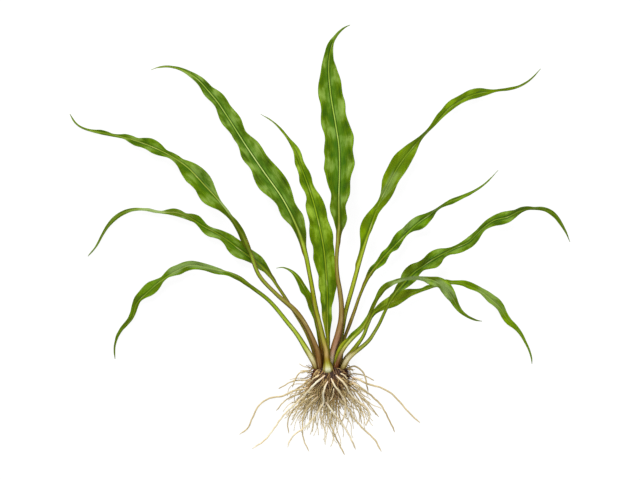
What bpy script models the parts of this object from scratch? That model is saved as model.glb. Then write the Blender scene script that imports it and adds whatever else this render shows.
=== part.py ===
"""A bare-root cryptocoryne lying on its side: twelve ribbon leaves, the rootstock and its roots.

Metres, +Z up. The plant lies on the plane z = 0 with its leaves towards +Y and its roots towards -Y, and
the photograph looks straight down on it. Paths are drawn by hand as photograph pixels (u to the right, v
down) on a picture of 640 by 480, with heights above the plane and thicknesses in millimetres.
"""

import bmesh
import bpy
import numpy as np

PIXEL = 0.65  # millimetres of plant that one photograph pixel spans
CENTRE_U, CENTRE_V = 320.0, 240.0  # the pixel above the origin
METRE = 0.001  # metres in a millimetre

BLADE_THICKNESS = 0.6  # of a leaf blade away from its midrib
FULL_RIB = 1.0  # radius of a midrib whose blade has this thickness; thinner midribs have thinner blades
WAVE_HEIGHT = 1.1  # how far a wavy margin rises and dips
WAVE_LENGTH = 17.0  # from one crest of a margin to the next
WAVE_PHASES = (0.0, 2.2)  # of the left and the right margin, so that their crests don't meet
TURN_REACH = 8.0  # how far along the leaf a turned blade takes to lie flat again
FLOOR_GAP = 0.05  # the lowest that a leaf or a root lies

PETIOLE_STATIONS, BLADE_STATIONS = 9, 26
ROOT_STATIONS, ROOT_SIDES = 10, 5
ACROSS = (-1.0, -0.5, 0.0, 0.5, 1.0)  # places across a leaf, as shares of each half's width
DIRECTION_REACH = 0.02  # how far ahead and behind a path's direction is read, as a share of its length
MARGIN_PLACES = 600  # places along a midrib among which the nearest to a margin is found
SHARP_ANGLE = 50.0  # degrees between two faces above which their edge isn't shaded smooth

# Rootstock: (v, half width, half depth) from its crown, among the petioles, to its lower end.
ROOTSTOCK = (
    (370.6, 4.0, 3.0),
    (372.4, 9.0, 6.6),
    (375.6, 11.7, 9.0),
    (380.0, 12.2, 9.4),
    (384.4, 11.0, 9.0),
    (388.2, 8.0, 6.2),
    (391.0, 3.6, 3.0),
)
ROOTSTOCK_U, ROOTSTOCK_V, ROOTSTOCK_HEIGHT = 330.0, 380.0, 8.2
ROOTSTOCK_HALF_WIDTH, ROOTSTOCK_HALF_LENGTH, ROOTSTOCK_HALF_DEPTH = 12.2, 7.6, 9.2
ROOTSTOCK_SIDES = 16
ROOTSTOCK_END = 0.8  # how far its lower end stands out beyond the last ring
# Lumps of old leaf and root scars, as waves around it: their count, turn per ring and share of its radius.
ROOTSTOCK_LUMPS = ((5, 1, 0.035), (3, -2, 0.025))
ROOTSTOCK_FULLER_BELOW = 1.12  # so that its underside is flattened where it rests

# Fine roots: a low fan around the rootstock's lower side, its lobes as long as the locks of roots.
FAN_INNER_U, FAN_INNER_V = 21.0, 13.2  # half axes of its inner edge, in pixels
FAN_TIP, FAN_NOTCH = 61.0, 47.0  # how far its lobes and the notches between them reach, in pixels
FAN_LOBES, FAN_LOBE_SHARPNESS = 7, 1.5
FAN_HALF_ANGLE = 84.0  # degrees to each side of straight down
FAN_SIDE_ROOM = 8.0  # degrees beyond its sides within which a main root still passes above it
FAN_HEIGHT, FAN_EDGE_HEIGHT = 8.0, 0.6
FAN_SLOPE = 1.5
FAN_COLUMNS, FAN_ROWS = 29, 4
ROOT_CLEARANCE = 0.6  # between the main roots and what they lie on
ROOT_LAYER = 1.25  # from one layer of crossing roots to the next
ROOT_LANDING = 6.0  # a root in a higher layer comes down over the last part of its length, one of this many
ROOT_FOOTHOLD = 9  # places around each station at which the ground below a root is read

# Each leaf, from its base to its tip. midrib: (u, v, height, thickness). left and right: its margins, as
# they lie to each side of someone who walks from base to tip. turns: where the blade stands on edge, as
# (u, v, rise of its left margin).
LEAVES = {
    "leaf_far_left": {
        "midrib": (
            (320, 369.6, 10.5, 4.2), (319, 354, 11.5, 3.6), (313, 338, 12.5, 3.25), (297, 311, 13.5, 3.2),
            (276.6, 293.6, 13.5, 2.9), (260, 276, 13, 2.6), (249, 249, 12.5, 2.4), (239, 230, 11.5, 1.9),
            (222.9, 205.7, 10, 1.6), (205.3, 186.6, 8.5, 1.4), (186, 167, 7, 1.2), (168.2, 154.8, 6, 1.0),
            (149.3, 144.5, 4.8, 0.9), (124.3, 136.5, 3.2, 0.8), (100.2, 132.1, 2.2, 0.8),
            (78, 125, 1.2, 0.6), (68.7, 112.9, 0.8, 0.3),
        ),
        "left": (
            (246, 249), (241.5, 242), (236, 231.7), (231, 224.2), (224, 214), (219.8, 211), (210.6, 207.2),
            (203, 201.9), (196.8, 191.9), (187.7, 182), (180, 169), (177.9, 165.2), (168.5, 158),
            (158.2, 155.8), (149.3, 150.9), (136.8, 146.4), (124.3, 138.8), (115.4, 136.2),
        ),
        "right": (
            (251, 248), (247.7, 238.3), (242, 228.5), (236.2, 221), (228.5, 210), (222, 203.4),
            (216, 190.4), (212.9, 180.5), (206.8, 172.8), (199, 165.9), (191.5, 162), (182.3, 159.4),
            (168, 151.8), (158.2, 142.4), (149.3, 138.2), (136, 138), (124.3, 134.2), (115.4, 134.8),
        ),
        "turns": ((168.2, 154.8, 3.2),),
    },
    "leaf_left_middle": {
        "midrib": (
            (317, 367.6, 3.2, 2.6), (314, 353, 3.4, 2.4), (306.5, 334, 4.5, 2.2), (291, 309, 5.5, 2.1),
            (277.8, 288.4, 5.8, 2.2), (263.5, 269, 5.6, 1.6), (241.5, 252, 5.2, 1.4),
            (218.5, 235, 4.6, 1.2), (203, 226.5, 4, 1.1), (188, 217, 3.4, 1.0), (175.2, 212.7, 3, 1.0),
            (161.8, 212.3, 2.6, 0.9), (145.7, 209.5, 2.4, 0.9), (127.9, 210.5, 2.2, 0.9),
            (113.6, 219.5, 2, 0.9), (103.8, 232, 1.5, 0.8), (95.7, 247, 1, 0.6), (86.8, 257, 0.6, 0.3),
        ),
        "left": (
            (272, 283), (265.4, 273), (258.7, 269), (251, 263), (241.5, 259), (230, 253), (218.3, 239),
            (210.6, 238), (205.3, 234.8), (199.9, 228.7), (196, 223.3), (187.7, 219.5), (176, 216.6),
            (161.8, 213.2), (145.7, 210.8), (135, 210.8), (127.9, 212), (120.7, 215.8), (112.2, 221.2),
            (106.5, 226.5),
        ),
        "right": (
            (275.5, 281), (268.3, 266.4), (262.5, 257.3), (251, 250), (240.5, 240.5), (227.4, 232.5),
            (218.3, 229.4), (210.6, 227), (204.5, 223.3), (199.9, 217.2), (193.8, 214), (187.7, 214.5),
            (174.3, 208.8), (161.8, 211.4), (153.8, 210), (145.7, 208.2), (135, 208.2), (127.9, 209),
            (120.7, 212.2), (114.8, 217.8), (108.6, 223.5),
        ),
        "turns": ((190, 216.5, 1.8), (161.8, 212.3, 1.6)),
    },
    "leaf_left_low": {
        "midrib": (
            (314.5, 370, 7.2, 4.3), (306.5, 348.6, 8.5, 3.5), (287, 323, 9.3, 3.1), (268, 301, 9, 2.9),
            (248, 286, 8.2, 2.6), (239, 278.8, 7.7, 2.2), (230.4, 274.2, 7.2, 1.2), (215, 270.5, 6.5, 1.1),
            (203.2, 267.2, 6, 1.1), (193.8, 265.6, 5.5, 1.1), (178.6, 270.3, 4.8, 1.0),
            (163.6, 278.8, 4.2, 1.0), (147.3, 291.5, 3.6, 1.0), (135.3, 303.6, 3.2, 1.0),
            (131.3, 318, 2.7, 0.9), (120.5, 330.4, 2, 0.8), (115.6, 342, 1.4, 0.7), (114.5, 360, 0.6, 0.3),
        ),
        "left": (
            (237.5, 281.7), (230.2, 275.2), (225, 275.4), (214, 274), (204.5, 271), (194.6, 270),
            (187.5, 271), (178.6, 275.9), (168.8, 277.2), (164.7, 280.8), (158, 290.2), (152.7, 295.5),
            (142, 300), (138.4, 304.6), (136.8, 311.4), (133.8, 319.2), (127.9, 325.8), (122, 331.8),
            (118.8, 338),
        ),
        "right": (
            (240.5, 276), (230.8, 273.2), (225, 271.4), (216, 267), (202, 263.4), (193, 261.2),
            (185.7, 262), (178.6, 264.7), (170.5, 268.3), (162.5, 276.8), (148.2, 282.6), (142, 288.4),
            (136.6, 295.5), (132.2, 303), (131, 310), (128.8, 316.8), (124, 322.4), (118.9, 329),
            (116, 337),
        ),
        "turns": ((230.4, 274.2, 1.6), (163.6, 278.8, 2.6)),
    },
    "leaf_top_left": {
        "midrib": (
            (328, 371.2, 15.0, 3.4), (328, 366.5, 15.0, 6.1), (327.4, 361, 15.2, 5.2),
            (326.6, 354.4, 15.6, 3.9), (323.7, 340, 16.2, 3.5), (317, 311, 17, 3.2),
            (311.3, 277.8, 17, 3.1), (303.7, 244.3, 16, 2.8), (297.8, 229.4, 15, 1.9),
            (282.5, 198.8, 13, 1.6), (264.2, 172, 11, 1.5), (245.8, 144.5, 9, 1.3), (229.7, 120, 7.3, 1.2),
            (216.6, 100.7, 6, 1.1), (208.2, 91, 5.3, 1.0), (198, 79.8, 4.5, 0.9), (189, 73.2, 3.9, 0.9),
            (180, 69.2, 3.4, 0.8), (169.6, 66.8, 2.7, 0.8), (157, 67.4, 1.7, 0.6), (150, 69.8, 0.8, 0.3),
        ),
        "left": (
            (300.8, 242.4), (294.8, 232.5), (290.2, 224.8), (281, 214.9), (278.7, 207.2), (274.9, 201.9),
            (268, 196.5), (260.4, 189.6), (255.8, 182), (253.5, 174.3), (250.4, 167.4), (243.5, 160.6),
            (241.2, 154.4), (239.7, 146.8), (235, 140.7), (232, 134.5), (225.9, 127.7), (220.6, 120),
            (218.7, 114), (215.9, 107.7), (212.4, 102.8), (206, 97.2), (202.6, 92.3), (199, 85.3),
            (193.5, 79.6), (187.2, 74.7), (179.5, 70.5), (169.6, 67.6),
        ),
        "right": (
            (306, 245), (306.5, 235.7), (300, 210.3), (295.6, 203.4), (293.3, 195.8), (290.2, 186.6),
            (285.6, 178.2), (279.5, 169.7), (273.4, 163.6), (266.5, 155.2), (261, 146), (255.8, 139.9),
            (248.1, 134.5), (245, 129), (241.9, 121), (239, 115.4), (234.2, 110.2), (230, 104.9),
            (227.2, 99.3), (222.3, 93.3), (215.9, 89.5), (211, 86), (205.4, 80), (199, 75.4), (190.7, 71.6),
            (180.9, 67.7), (169.6, 66),
        ),
        "turns": (),
    },
    "leaf_centre": {
        "midrib": (
            (329.5, 367.6, 3.8, 2.6), (328.5, 350.5, 4.4, 2.4), (328, 335, 5.4, 1.9),
            (327.6, 315, 6.4, 1.5), (327.6, 297, 7, 1.3), (326.6, 273, 7.2, 1.2), (324.7, 249, 7, 1.2),
            (321, 230, 6.6, 1.1), (313.2, 200.3, 5.8, 1.0), (302.4, 170.4, 5, 0.9),
            (295.5, 152.5, 4.2, 0.8), (287.9, 138.3, 3.4, 0.9), (274, 123, 2.2, 0.6),
            (260, 113.4, 0.9, 0.3),
        ),
        "left": (
            (326.6, 340), (323.7, 325.7), (322.3, 311), (321, 299.8), (319.4, 287.4), (319, 275),
            (314.2, 258.7), (313.2, 246.3), (309.4, 230), (308.6, 218.6), (306.3, 208.7), (307, 198.7),
            (305.5, 191.8), (300.2, 182.7), (298.6, 172.7), (295.6, 165), (294.8, 155), (291.7, 147.4),
            (286.8, 139.4),
        ),
        "right": (
            (329.6, 342), (330.4, 332), (332.4, 320), (331.9, 309), (333.5, 298.8), (337, 286),
            (335.8, 272), (334.7, 258.7), (334, 245.7), (333, 231.4), (328.4, 220), (327.7, 214.8),
            (324.6, 202.6), (320, 193.4), (314.7, 186.5), (312.4, 177.3), (309.3, 169.6), (304, 161.2),
            (301.7, 152.8), (297.9, 146.7), (292.5, 141.3),
        ),
        "turns": (),
    },
    "leaf_top": {
        "midrib": (
            (332, 368, 8.2, 2.8), (332.8, 360, 8.6, 3.4), (334, 350, 9.5, 4.2), (338, 335, 11, 4.5),
            (340.6, 319, 12.3, 3.6), (342, 305, 13.2, 3.2), (341, 292, 13.8, 2.9), (338, 275, 14.2, 2.7),
            (336.7, 261, 14.4, 2.6), (337.6, 245, 14.4, 2.4), (339, 228, 14.2, 1.9),
            (339, 197.7, 13.2, 1.6), (340, 164.7, 11.8, 1.5), (339.4, 145, 10.5, 1.4),
            (336.6, 125.4, 9, 1.3), (331, 92, 6.3, 1.2), (329, 66, 4.6, 1.1), (330.5, 52, 3.8, 1.0),
            (334, 41.5, 3, 0.9), (338.7, 33.2, 2.2, 1.1), (346.4, 26.6, 1.3, 0.7), (351, 24.1, 0.8, 0.3),
        ),
        "left": (
            (337.4, 231), (334, 220.2), (330.9, 210), (330.3, 206), (331.7, 197), (331, 189.3),
            (326.7, 178.7), (324.3, 168.2), (325.7, 158.4), (324.3, 149.3), (325.7, 141), (325.3, 134.6),
            (321.5, 122.6), (321.8, 107), (319.4, 97), (318.3, 89.4), (319.4, 82.3), (321.5, 72.5),
            (322.5, 61.3), (326, 51.5), (328.2, 44.5), (332.4, 38.9), (337.3, 33.2),
        ),
        "right": (
            (340.6, 237.6), (342, 229.4), (347.2, 219.2), (345.7, 210), (346.4, 203.3), (350.3, 194.2),
            (350.6, 185.8), (351.3, 176.6), (354.8, 166), (354.8, 157.7), (353.4, 148.6), (354.5, 138.8),
            (352.7, 130.3), (347.8, 120.5), (346, 110), (345.7, 103.4), (343.6, 95), (342.2, 86.6),
            (340.8, 76.7), (336.6, 66.2), (333.8, 57), (333.4, 46.6), (335.2, 38.9), (340, 33.2),
        ),
        "turns": (),
    },
    "leaf_top_right": {
        "midrib": (
            (336.3, 367.6, 4.0, 3.0), (337.8, 352, 5.0, 3.0), (341.5, 335.5, 6.2, 3.0),
            (345.2, 314, 6.8, 2.9), (352.9, 286.5, 8, 2.7), (362, 254, 9, 2.6), (368.2, 234.6, 9.2, 1.9),
            (375.8, 212.6, 9, 1.6), (381.6, 199.2, 8.7, 1.4), (388.3, 187.7, 8.4, 1.3),
            (400, 165.4, 7.8, 1.3), (411, 150, 7.2, 1.2), (424.5, 134.8, 6.4, 1.1), (434, 124.5, 5.8, 1.1),
            (446.5, 110, 5, 1.1), (461.5, 99.6, 4.4, 1.0), (476, 93.5, 3.8, 0.9), (489, 91.6, 3.3, 0.9),
            (506.6, 89.5, 2.6, 0.9), (520.7, 85.6, 1.9, 0.8), (533, 77, 1.3, 0.6), (541.7, 67.7, 0.7, 0.3),
        ),
        "left": (
            (360.5, 252), (361.5, 241.3), (360.3, 230.8), (362.4, 221.2), (369, 211.7), (378, 199.5),
            (381.6, 189.7), (383.5, 177.2), (385.7, 171.6), (392, 161), (398.2, 152), (408, 144.8),
            (421.4, 136.8), (427.7, 130.5), (432, 124.3), (437.5, 114.5), (444.6, 107.3), (449, 102),
            (460.3, 96.5), (466.7, 92.3), (473, 89.1), (481.4, 88.2), (489, 89.1), (497, 89.5),
            (513.2, 86.6),
        ),
        "right": (
            (364.4, 250), (371, 233.7), (376.8, 219.3), (380.6, 210.7), (388.3, 203), (393, 195.4),
            (396.9, 185.8), (403.6, 176.3), (407, 169.8), (414.3, 157.3), (419.6, 146.6), (423.2, 138.6),
            (428.6, 131.4), (435.7, 125.2), (442, 118.9), (449, 112.7), (458.9, 104.9), (464.6, 102),
            (471.6, 100), (480, 97.9), (489, 94.4), (497.5, 91), (514.2, 89.4),
        ),
        "turns": ((381, 200.5, -2.0), (425.5, 134.3, 3.0)),
    },
    "leaf_right_middle": {
        "midrib": (
            (341, 367.6, 3.8, 2.2), (342, 352, 3.8, 2.1), (344.3, 338.7, 4, 2.1), (349, 325, 4.4, 2.1),
            (354.9, 310, 5, 2.0), (360, 296.7, 5.5, 1.9), (366, 283.5, 6, 1.7), (376.8, 267, 6.5, 1.3),
            (388.3, 253.8, 6.6, 1.2), (402.6, 238.4, 6.2, 1.2), (417, 224, 5.6, 1.1),
            (429.5, 214.6, 5, 1.0), (439, 207.8, 4.5, 0.9), (451, 202, 3.8, 0.9), (464.8, 195.9, 3, 0.9),
            (475.3, 190.6, 2.4, 0.8), (485.8, 183.4, 1.7, 0.6), (499, 169.6, 0.7, 0.3),
        ),
        "left": (
            (366.7, 278.6), (369, 271), (372, 266.2), (377.7, 262.4), (379.7, 257.6), (383.5, 250.9),
            (389.2, 246), (393, 238.4), (398.8, 231.7), (406.4, 226.5), (412.2, 220.3), (419.8, 215.5),
            (430.4, 212), (439, 207), (446.6, 202), (453.3, 198.7), (464.4, 194.6),
        ),
        "right": (
            (371, 276.7), (375.8, 270), (381.6, 267), (386.4, 263.3), (388.3, 257.6), (392, 252.8),
            (399.7, 248), (402.6, 241.3), (407.4, 235.6), (413, 231.3), (423.7, 229.4), (430.4, 223),
            (436, 214.5), (440, 209.5), (448.5, 205.9), (456.2, 203), (465.4, 197.2),
        ),
        "turns": ((439, 207.8, 2.0),),
    },
    "leaf_right_long": {
        "midrib": (
            (342.5, 369.4, 8.2, 4.2), (346, 361.7, 8.8, 4.3), (354.9, 353.7, 9.6, 3.6),
            (365, 344, 10.3, 2.4), (373.3, 335.5, 10.7, 2.2), (379.4, 325.3, 11, 2.1),
            (385.5, 311, 11.4, 2.0), (392, 298.3, 11.6, 1.9), (400, 287.4, 11.5, 1.6),
            (411.3, 275.2, 11.2, 1.4), (424.6, 265.3, 10.6, 1.3), (438, 257.5, 10, 1.2),
            (453.3, 250, 9, 1.2), (469, 242.8, 8, 1.2), (482, 230, 7.1, 1.2), (494, 221, 6.3, 1.2),
            (508, 217, 5.6, 1.1), (520, 211, 4.9, 1.0), (533.3, 208.7, 4.3, 0.9), (542.9, 208.7, 3.8, 0.9),
            (556.3, 214.9, 2.8, 0.9), (565.8, 230.2, 1.6, 0.8), (570.8, 242.6, 0.7, 0.3),
        ),
        "left": (
            (393.4, 294.8), (395.5, 289), (398, 282.5), (401, 277.6), (404.3, 271.3), (409.6, 266.4),
            (419.8, 262.4), (425.6, 257.6), (431.3, 251.8), (441, 249), (453.3, 247.1), (461.6, 243),
            (471, 235.9), (478.8, 229.7), (484.5, 224), (492.2, 218.2), (500.8, 213.9), (509.4, 211.5),
            (516, 210.3), (525.7, 206.7), (533.3, 207.7), (542.9, 207.5), (550.2, 208.9), (557.7, 213.5),
            (563.3, 221.8),
        ),
        "right": (
            (395.5, 295.9), (399, 292.7), (404.3, 289.6), (410.6, 285.7), (415.5, 280.4), (419.4, 275.9),
            (421.8, 272.4), (425.3, 270.3), (432.9, 269.2), (440.5, 264.6), (444.3, 257.9), (449, 255),
            (457.7, 254), (465.4, 251.2), (473, 246.4), (479.7, 239.7), (483.6, 233), (488.4, 228.3),
            (497, 225.9), (506.5, 224), (513.2, 220), (519.9, 214.9), (526.6, 210.6), (533.3, 209.7),
            (542.9, 209.9), (549, 212.3), (554.9, 216.3), (560.7, 223.2),
        ),
        "turns": ((531, 209, 1.6),),
    },
    "leaf_front_arching": {
        "midrib": (
            (336.5, 368.6, 11.5, 2.8), (339.6, 355.3, 13, 3.2), (344.3, 347.5, 14.8, 2.8),
            (352, 338, 17.3, 2.6), (362, 328.2, 20, 2.4), (368.5, 316.7, 22, 2.2), (372.8, 306, 23.6, 1.9),
            (378, 296.8, 24.8, 1.5), (385, 288.2, 25.6, 1.2), (395.5, 281.6, 26.2, 1.1),
            (407, 278.6, 26, 1.1), (420, 278.2, 25, 1.2), (434, 280.8, 23, 1.2), (445, 287.8, 20, 1.2),
            (453, 299, 15.5, 1.1), (460.5, 311, 9.5, 1.0), (469, 317.2, 6, 0.9), (475.6, 320.3, 3.6, 0.8),
            (482.9, 321.5, 1, 0.3),
        ),
        "left": (
            (334.6, 357), (336.8, 351), (339.8, 344.8), (346.6, 337.8), (355.5, 330), (361, 325),
            (365.6, 317.5), (371, 305), (376, 294.3), (381.5, 286.6), (388.4, 281.7), (395.3, 279.7),
            (400.6, 278.4), (408.3, 276.7), (416, 276), (426.6, 276.8), (438, 276.7), (445.8, 279.7),
            (451, 285), (454.9, 293.5), (458, 302), (462.6, 309.6), (469.5, 316.5),
        ),
        "right": (
            (374.6, 303.5), (380, 295.8), (385.3, 289.7), (392.2, 285), (397.6, 282.8), (403.7, 280.5),
            (411.3, 279.7), (421.3, 279.7), (425, 282.8), (429, 284.7), (436.6, 286.6), (442, 292.8),
            (446.5, 298), (451.9, 305), (458, 312.7), (468, 318),
        ),
        "turns": (),
    },
    "leaf_right_low": {
        "midrib": (
            (346.5, 366.4, 4, 2.6), (352, 350.5, 4.4, 2.5), (361.2, 338.7, 4.8, 2.3), (367.2, 327, 5, 2.2),
            (371.8, 316.5, 5.1, 1.9), (375.5, 312.2, 5.3, 1.4), (382.2, 306.6, 5.5, 1.2),
            (395, 300.5, 5.9, 1.2), (405, 295.3, 6.2, 1.2), (420.5, 290.3, 6.7, 1.2), (432, 287.2, 7, 1.1),
            (449.7, 283, 7.5, 1.0), (460.7, 283, 7.5, 1.0), (474.7, 288, 7.1, 1.0), (491.3, 299, 6.2, 1.0),
            (501.5, 308.5, 5.3, 1.0), (506, 317, 4.6, 1.0), (515, 327, 3.8, 1.0), (525.4, 341.7, 2.4, 0.9),
            (530.4, 350.4, 1.7, 0.8), (532.7, 359, 1, 0.6), (532.5, 364.8, 0.6, 0.3),
        ),
        "left": (
            (373.4, 312.6), (381.5, 302.7), (387.6, 298), (393, 295), (400.6, 290.5), (408.3, 289.3),
            (419, 288.8), (429, 285.6), (440, 282.4), (448, 281), (453.4, 280.7), (461.4, 280.4),
            (468, 281.4), (476, 285), (485.5, 290), (493.6, 295), (500.3, 300), (504.3, 306), (507, 313),
            (513, 321.6), (518.3, 327), (523, 334.3), (527.7, 343),
        ),
        "right": (
            (374.6, 315.7), (378.4, 312.3), (383, 310.4), (389, 309.2), (396.8, 307), (404.4, 302),
            (413, 295.8), (422, 292), (431, 289.5), (441, 286.3), (451.4, 284.6), (460, 285.4),
            (466.8, 288.4), (473.5, 290.8), (479.5, 293), (484.2, 297.5), (489, 302.8), (495, 306.8),
            (499.6, 313), (503.6, 319.6), (509.6, 325.6), (513.7, 328), (519, 333.6), (523, 340.3),
        ),
        "turns": (),
    },
    "leaf_small": {
        "midrib": (
            (322.5, 367.6, 4, 2.0), (321.7, 351, 4.2, 2.0), (320.8, 341, 4.6, 2.2), (318.5, 328, 5.2, 1.4),
            (314.5, 313, 5.4, 1.1), (310.5, 300, 5.2, 1.0), (304.5, 287, 4.6, 0.9), (297.5, 277, 3.8, 0.8),
            (291.5, 271, 3, 0.8), (281.7, 267.5, 1.9, 0.7), (275.9, 268.3, 0.8, 0.3),
        ),
        "left": (
            (318, 338), (317, 330.4), (315, 321.8), (312.3, 314), (308.4, 306.5), (306.5, 299),
            (302.5, 293.6), (300, 289.4), (298.6, 284), (295, 278), (291.2, 272),
        ),
        "right": (
            (321.5, 333), (319.5, 322), (316.8, 311), (314, 300.5), (310.6, 292.5), (306.6, 287.3),
            (304, 283.2), (300.4, 277.4), (292.5, 270.5),
        ),
        "turns": (),
    },
}

# Each main root, from the rootstock to its tip: its path (u, v), its thickness at the start, and the layer
# that it runs in where roots cross.
ROOTS = {
    "root_left_long": (((309.5, 387), (302, 389.3), (293, 391), (283.5, 396), (267.7, 399.2), (258, 407),
                        (252, 419), (248, 428), (239, 435)), 1.15, 0),
    "root_left_front": (((325, 375), (312.6, 385.5), (303, 397), (290.8, 408), (280, 420), (272.6, 431),
                         (265, 440), (252, 449.5)), 1.3, 1),
    "root_left_upper": (((308.6, 380.5), (301, 380), (293, 381.2), (285, 385.4), (278, 389)), 1.0, 0),
    "root_left_short": (((310.4, 373), (305, 371.6), (300, 373), (295.6, 379), (292, 387.5)), 1.0, 2),
    "root_left_small": (((313.5, 391.5), (303, 393.5), (293, 396), (283.5, 402.5), (276, 411)), 1.0, 0),
    "root_left_down": (((315.5, 394), (308, 399), (299, 405), (291.5, 413), (287.5, 423), (289, 434)),
                       1.0, 0),
    "root_left_low": (((318.5, 396), (309.5, 404.5), (303.5, 416), (302.4, 428), (304, 441), (309, 452)),
                      1.0, 0),
    "root_left_top": (((319.5, 374.4), (315.7, 376.8), (310.6, 381), (306.2, 385.6)), 1.1, 2),
    "root_fork_left": (((328, 380.5), (324.8, 387), (323.2, 395), (323.6, 401), (318.6, 411), (311.4, 420.5),
                        (303, 429), (294.4, 435), (289.5, 442), (287.7, 447.7)), 1.3, 1),
    "root_fork_right": (((325.9, 402), (335.6, 415.6), (343, 425), (349, 435), (356, 450)), 1.2, 3),
    "root_centre_short": (((333.8, 388), (333.4, 392), (332.4, 396.5), (329, 402)), 1.0, 2),
    "root_centre": (((331, 377.5), (334, 384), (340.5, 392.6), (344.7, 401), (345.3, 409.5), (343, 419),
                     (339.5, 425.5)), 1.3, 4),
    "root_low_centre": (((328, 395.5), (328, 408), (329.4, 421), (333, 431.5), (337.5, 441),
                         (344.7, 455.6)), 1.1, 0),
    "root_right_low": (((337.5, 396), (342, 402.5), (347.7, 408), (353.8, 418), (364.7, 430.5), (373, 438),
                        (381.7, 452)), 1.2, 0),
    "root_right_front": (((335.6, 374.6), (344, 383), (351.4, 395), (358.6, 402), (367, 408), (369.5, 415.6),
                          (366, 426.5)), 1.2, 1),
    "root_right_thin": (((346.5, 393), (353, 402), (358.8, 412.5), (362, 424.5)), 0.9, 0),
    "root_right_steep": (((351.5, 382), (363.5, 389.6), (372, 396.4), (380.5, 404.7), (387.7, 417),
                          (395, 432.6)), 1.2, 0),
    "root_right_branch": (((350, 388), (358.6, 393.4), (366.5, 401), (372.5, 409), (379, 417.6)), 0.9, 0),
    "root_right_long": (((352.2, 377.5), (358, 379), (366, 383.4), (380.5, 387.7), (391.4, 393.8),
                         (400, 402.3), (408.3, 412), (420.5, 423.5)), 1.25, 0),
    "root_right_arch": (((348.6, 371.2), (352, 368.4), (357.4, 368.6), (363.5, 374.4), (366.3, 383),
                         (367.7, 390)), 1.1, 3),
    "root_right_small": (((352.4, 373.6), (358, 374.2), (366, 376.6), (374.4, 381)), 0.9, 0),
    "root_right_top": (((340.4, 373), (344, 375), (347.5, 379.2)), 1.1, 1),
}
ROOT_TIP = 0.45  # thickness of a main root at its tip

LEAF_GREEN, LEAF_ROUGHNESS = (0.085, 0.200, 0.022), 0.42
ROOTSTOCK_BROWN, ROOTSTOCK_ROUGHNESS = (0.075, 0.035, 0.018), 0.85
ROOT_CREAM, ROOT_ROUGHNESS = (0.62, 0.48, 0.30), 0.60
FAN_TAN, FAN_ROUGHNESS = (0.36, 0.25, 0.13), 0.80


def clear_scene():
    for obj in list(bpy.data.objects):
        bpy.data.objects.remove(obj)


def on_plane(pixels):
    """Photograph pixels as millimetres right of and above the origin."""
    pixels = np.asarray(pixels, float)
    return np.column_stack([(pixels[:, 0] - CENTRE_U) * PIXEL, (CENTRE_V - pixels[:, 1]) * PIXEL])


def curve_through(knots, values, at):
    """The smooth curve through the values at the knots, read at other places: cubics whose slopes agree."""
    slopes = np.gradient(values, knots, axis=0)
    first = np.clip(np.searchsorted(knots, at, side="right") - 1, 0, len(knots) - 2)
    span = (knots[first + 1] - knots[first])[:, None]
    t = (at - knots[first])[:, None] / span
    start = (2 * t**3 - 3 * t**2 + 1) * values[first] + (t**3 - 2 * t**2 + t) * span * slopes[first]
    end = (3 * t**2 - 2 * t**3) * values[first + 1] + (t**3 - t**2) * span * slopes[first + 1]
    return start + end


def lengths_along(points):
    steps = np.linalg.norm(np.diff(points[:, :3], axis=0), axis=1)
    return np.concatenate([[0.0], np.cumsum(steps)])


def frame_along(path, places):
    """Centres, thicknesses, and the side and upward directions across the path, at places along it."""
    knots = lengths_along(path)
    rows = curve_through(knots, path, places)
    step = DIRECTION_REACH * knots[-1]
    ahead = curve_through(knots, path, np.minimum(places + step, knots[-1]))[:, :3]
    behind = curve_through(knots, path, np.maximum(places - step, 0.0))[:, :3]
    along = ahead - behind
    along /= np.linalg.norm(along, axis=1)[:, None]
    side = np.cross(along, (0.0, 0.0, 1.0))
    side /= np.linalg.norm(side, axis=1)[:, None]
    return rows[:, :3], rows[:, 3], side, np.cross(side, along)


def margin_widths(path, margin):
    """Where along the path each point of a margin lies, and how far from the midrib."""
    knots = lengths_along(path)
    fine = np.linspace(0.0, knots[-1], MARGIN_PLACES)
    line = curve_through(knots, path, fine)[:, :2]
    apart = np.linalg.norm(on_plane(margin)[:, None, :] - line[None, :, :], axis=2)
    places, widths = fine[apart.argmin(axis=1)], apart.min(axis=1)
    order = places.argsort()
    return places[order], widths[order]


def closed_skin(name, rings, tip, colour, roughness):
    """A closed object over a row of rings, with a flat start and a point at its tip.

    The two sides of a blade are cut along the same diagonals, so that they stay apart where it twists.
    """
    sides = rings.shape[1]
    mesh = bpy.data.meshes.new(name)
    shape = bmesh.new()
    rows = [[shape.verts.new(METRE * point) for point in ring] for ring in rings]
    point = shape.verts.new(METRE * tip)
    shape.faces.new(rows[0])
    for ring, following in zip(rows[:-1], rows[1:]):
        for i in range(sides):
            j = (i + 1) % sides
            if i < sides // 2:
                shape.faces.new((ring[i], ring[j], following[j]))
                shape.faces.new((ring[i], following[j], following[i]))
            else:
                shape.faces.new((ring[i], ring[j], following[i]))
                shape.faces.new((ring[j], following[j], following[i]))
    for i in range(sides):
        shape.faces.new((rows[-1][i], rows[-1][(i + 1) % sides], point))
    bmesh.ops.recalc_face_normals(shape, faces=shape.faces)
    shape.to_mesh(mesh)
    shape.free()
    return add_object(name, mesh, colour, roughness)


def add_object(name, mesh, colour, roughness):
    mesh.shade_smooth()
    mesh.set_sharp_from_angle(angle=np.radians(SHARP_ANGLE))
    material = bpy.data.materials.new(name)
    material.use_nodes = True
    shader = material.node_tree.nodes["Principled BSDF"]
    shader.inputs["Base Color"].default_value = (*colour, 1.0)
    shader.inputs["Roughness"].default_value = roughness
    mesh.materials.append(material)
    obj = bpy.data.objects.new(name, mesh)
    bpy.context.scene.collection.objects.link(obj)
    return obj


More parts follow.
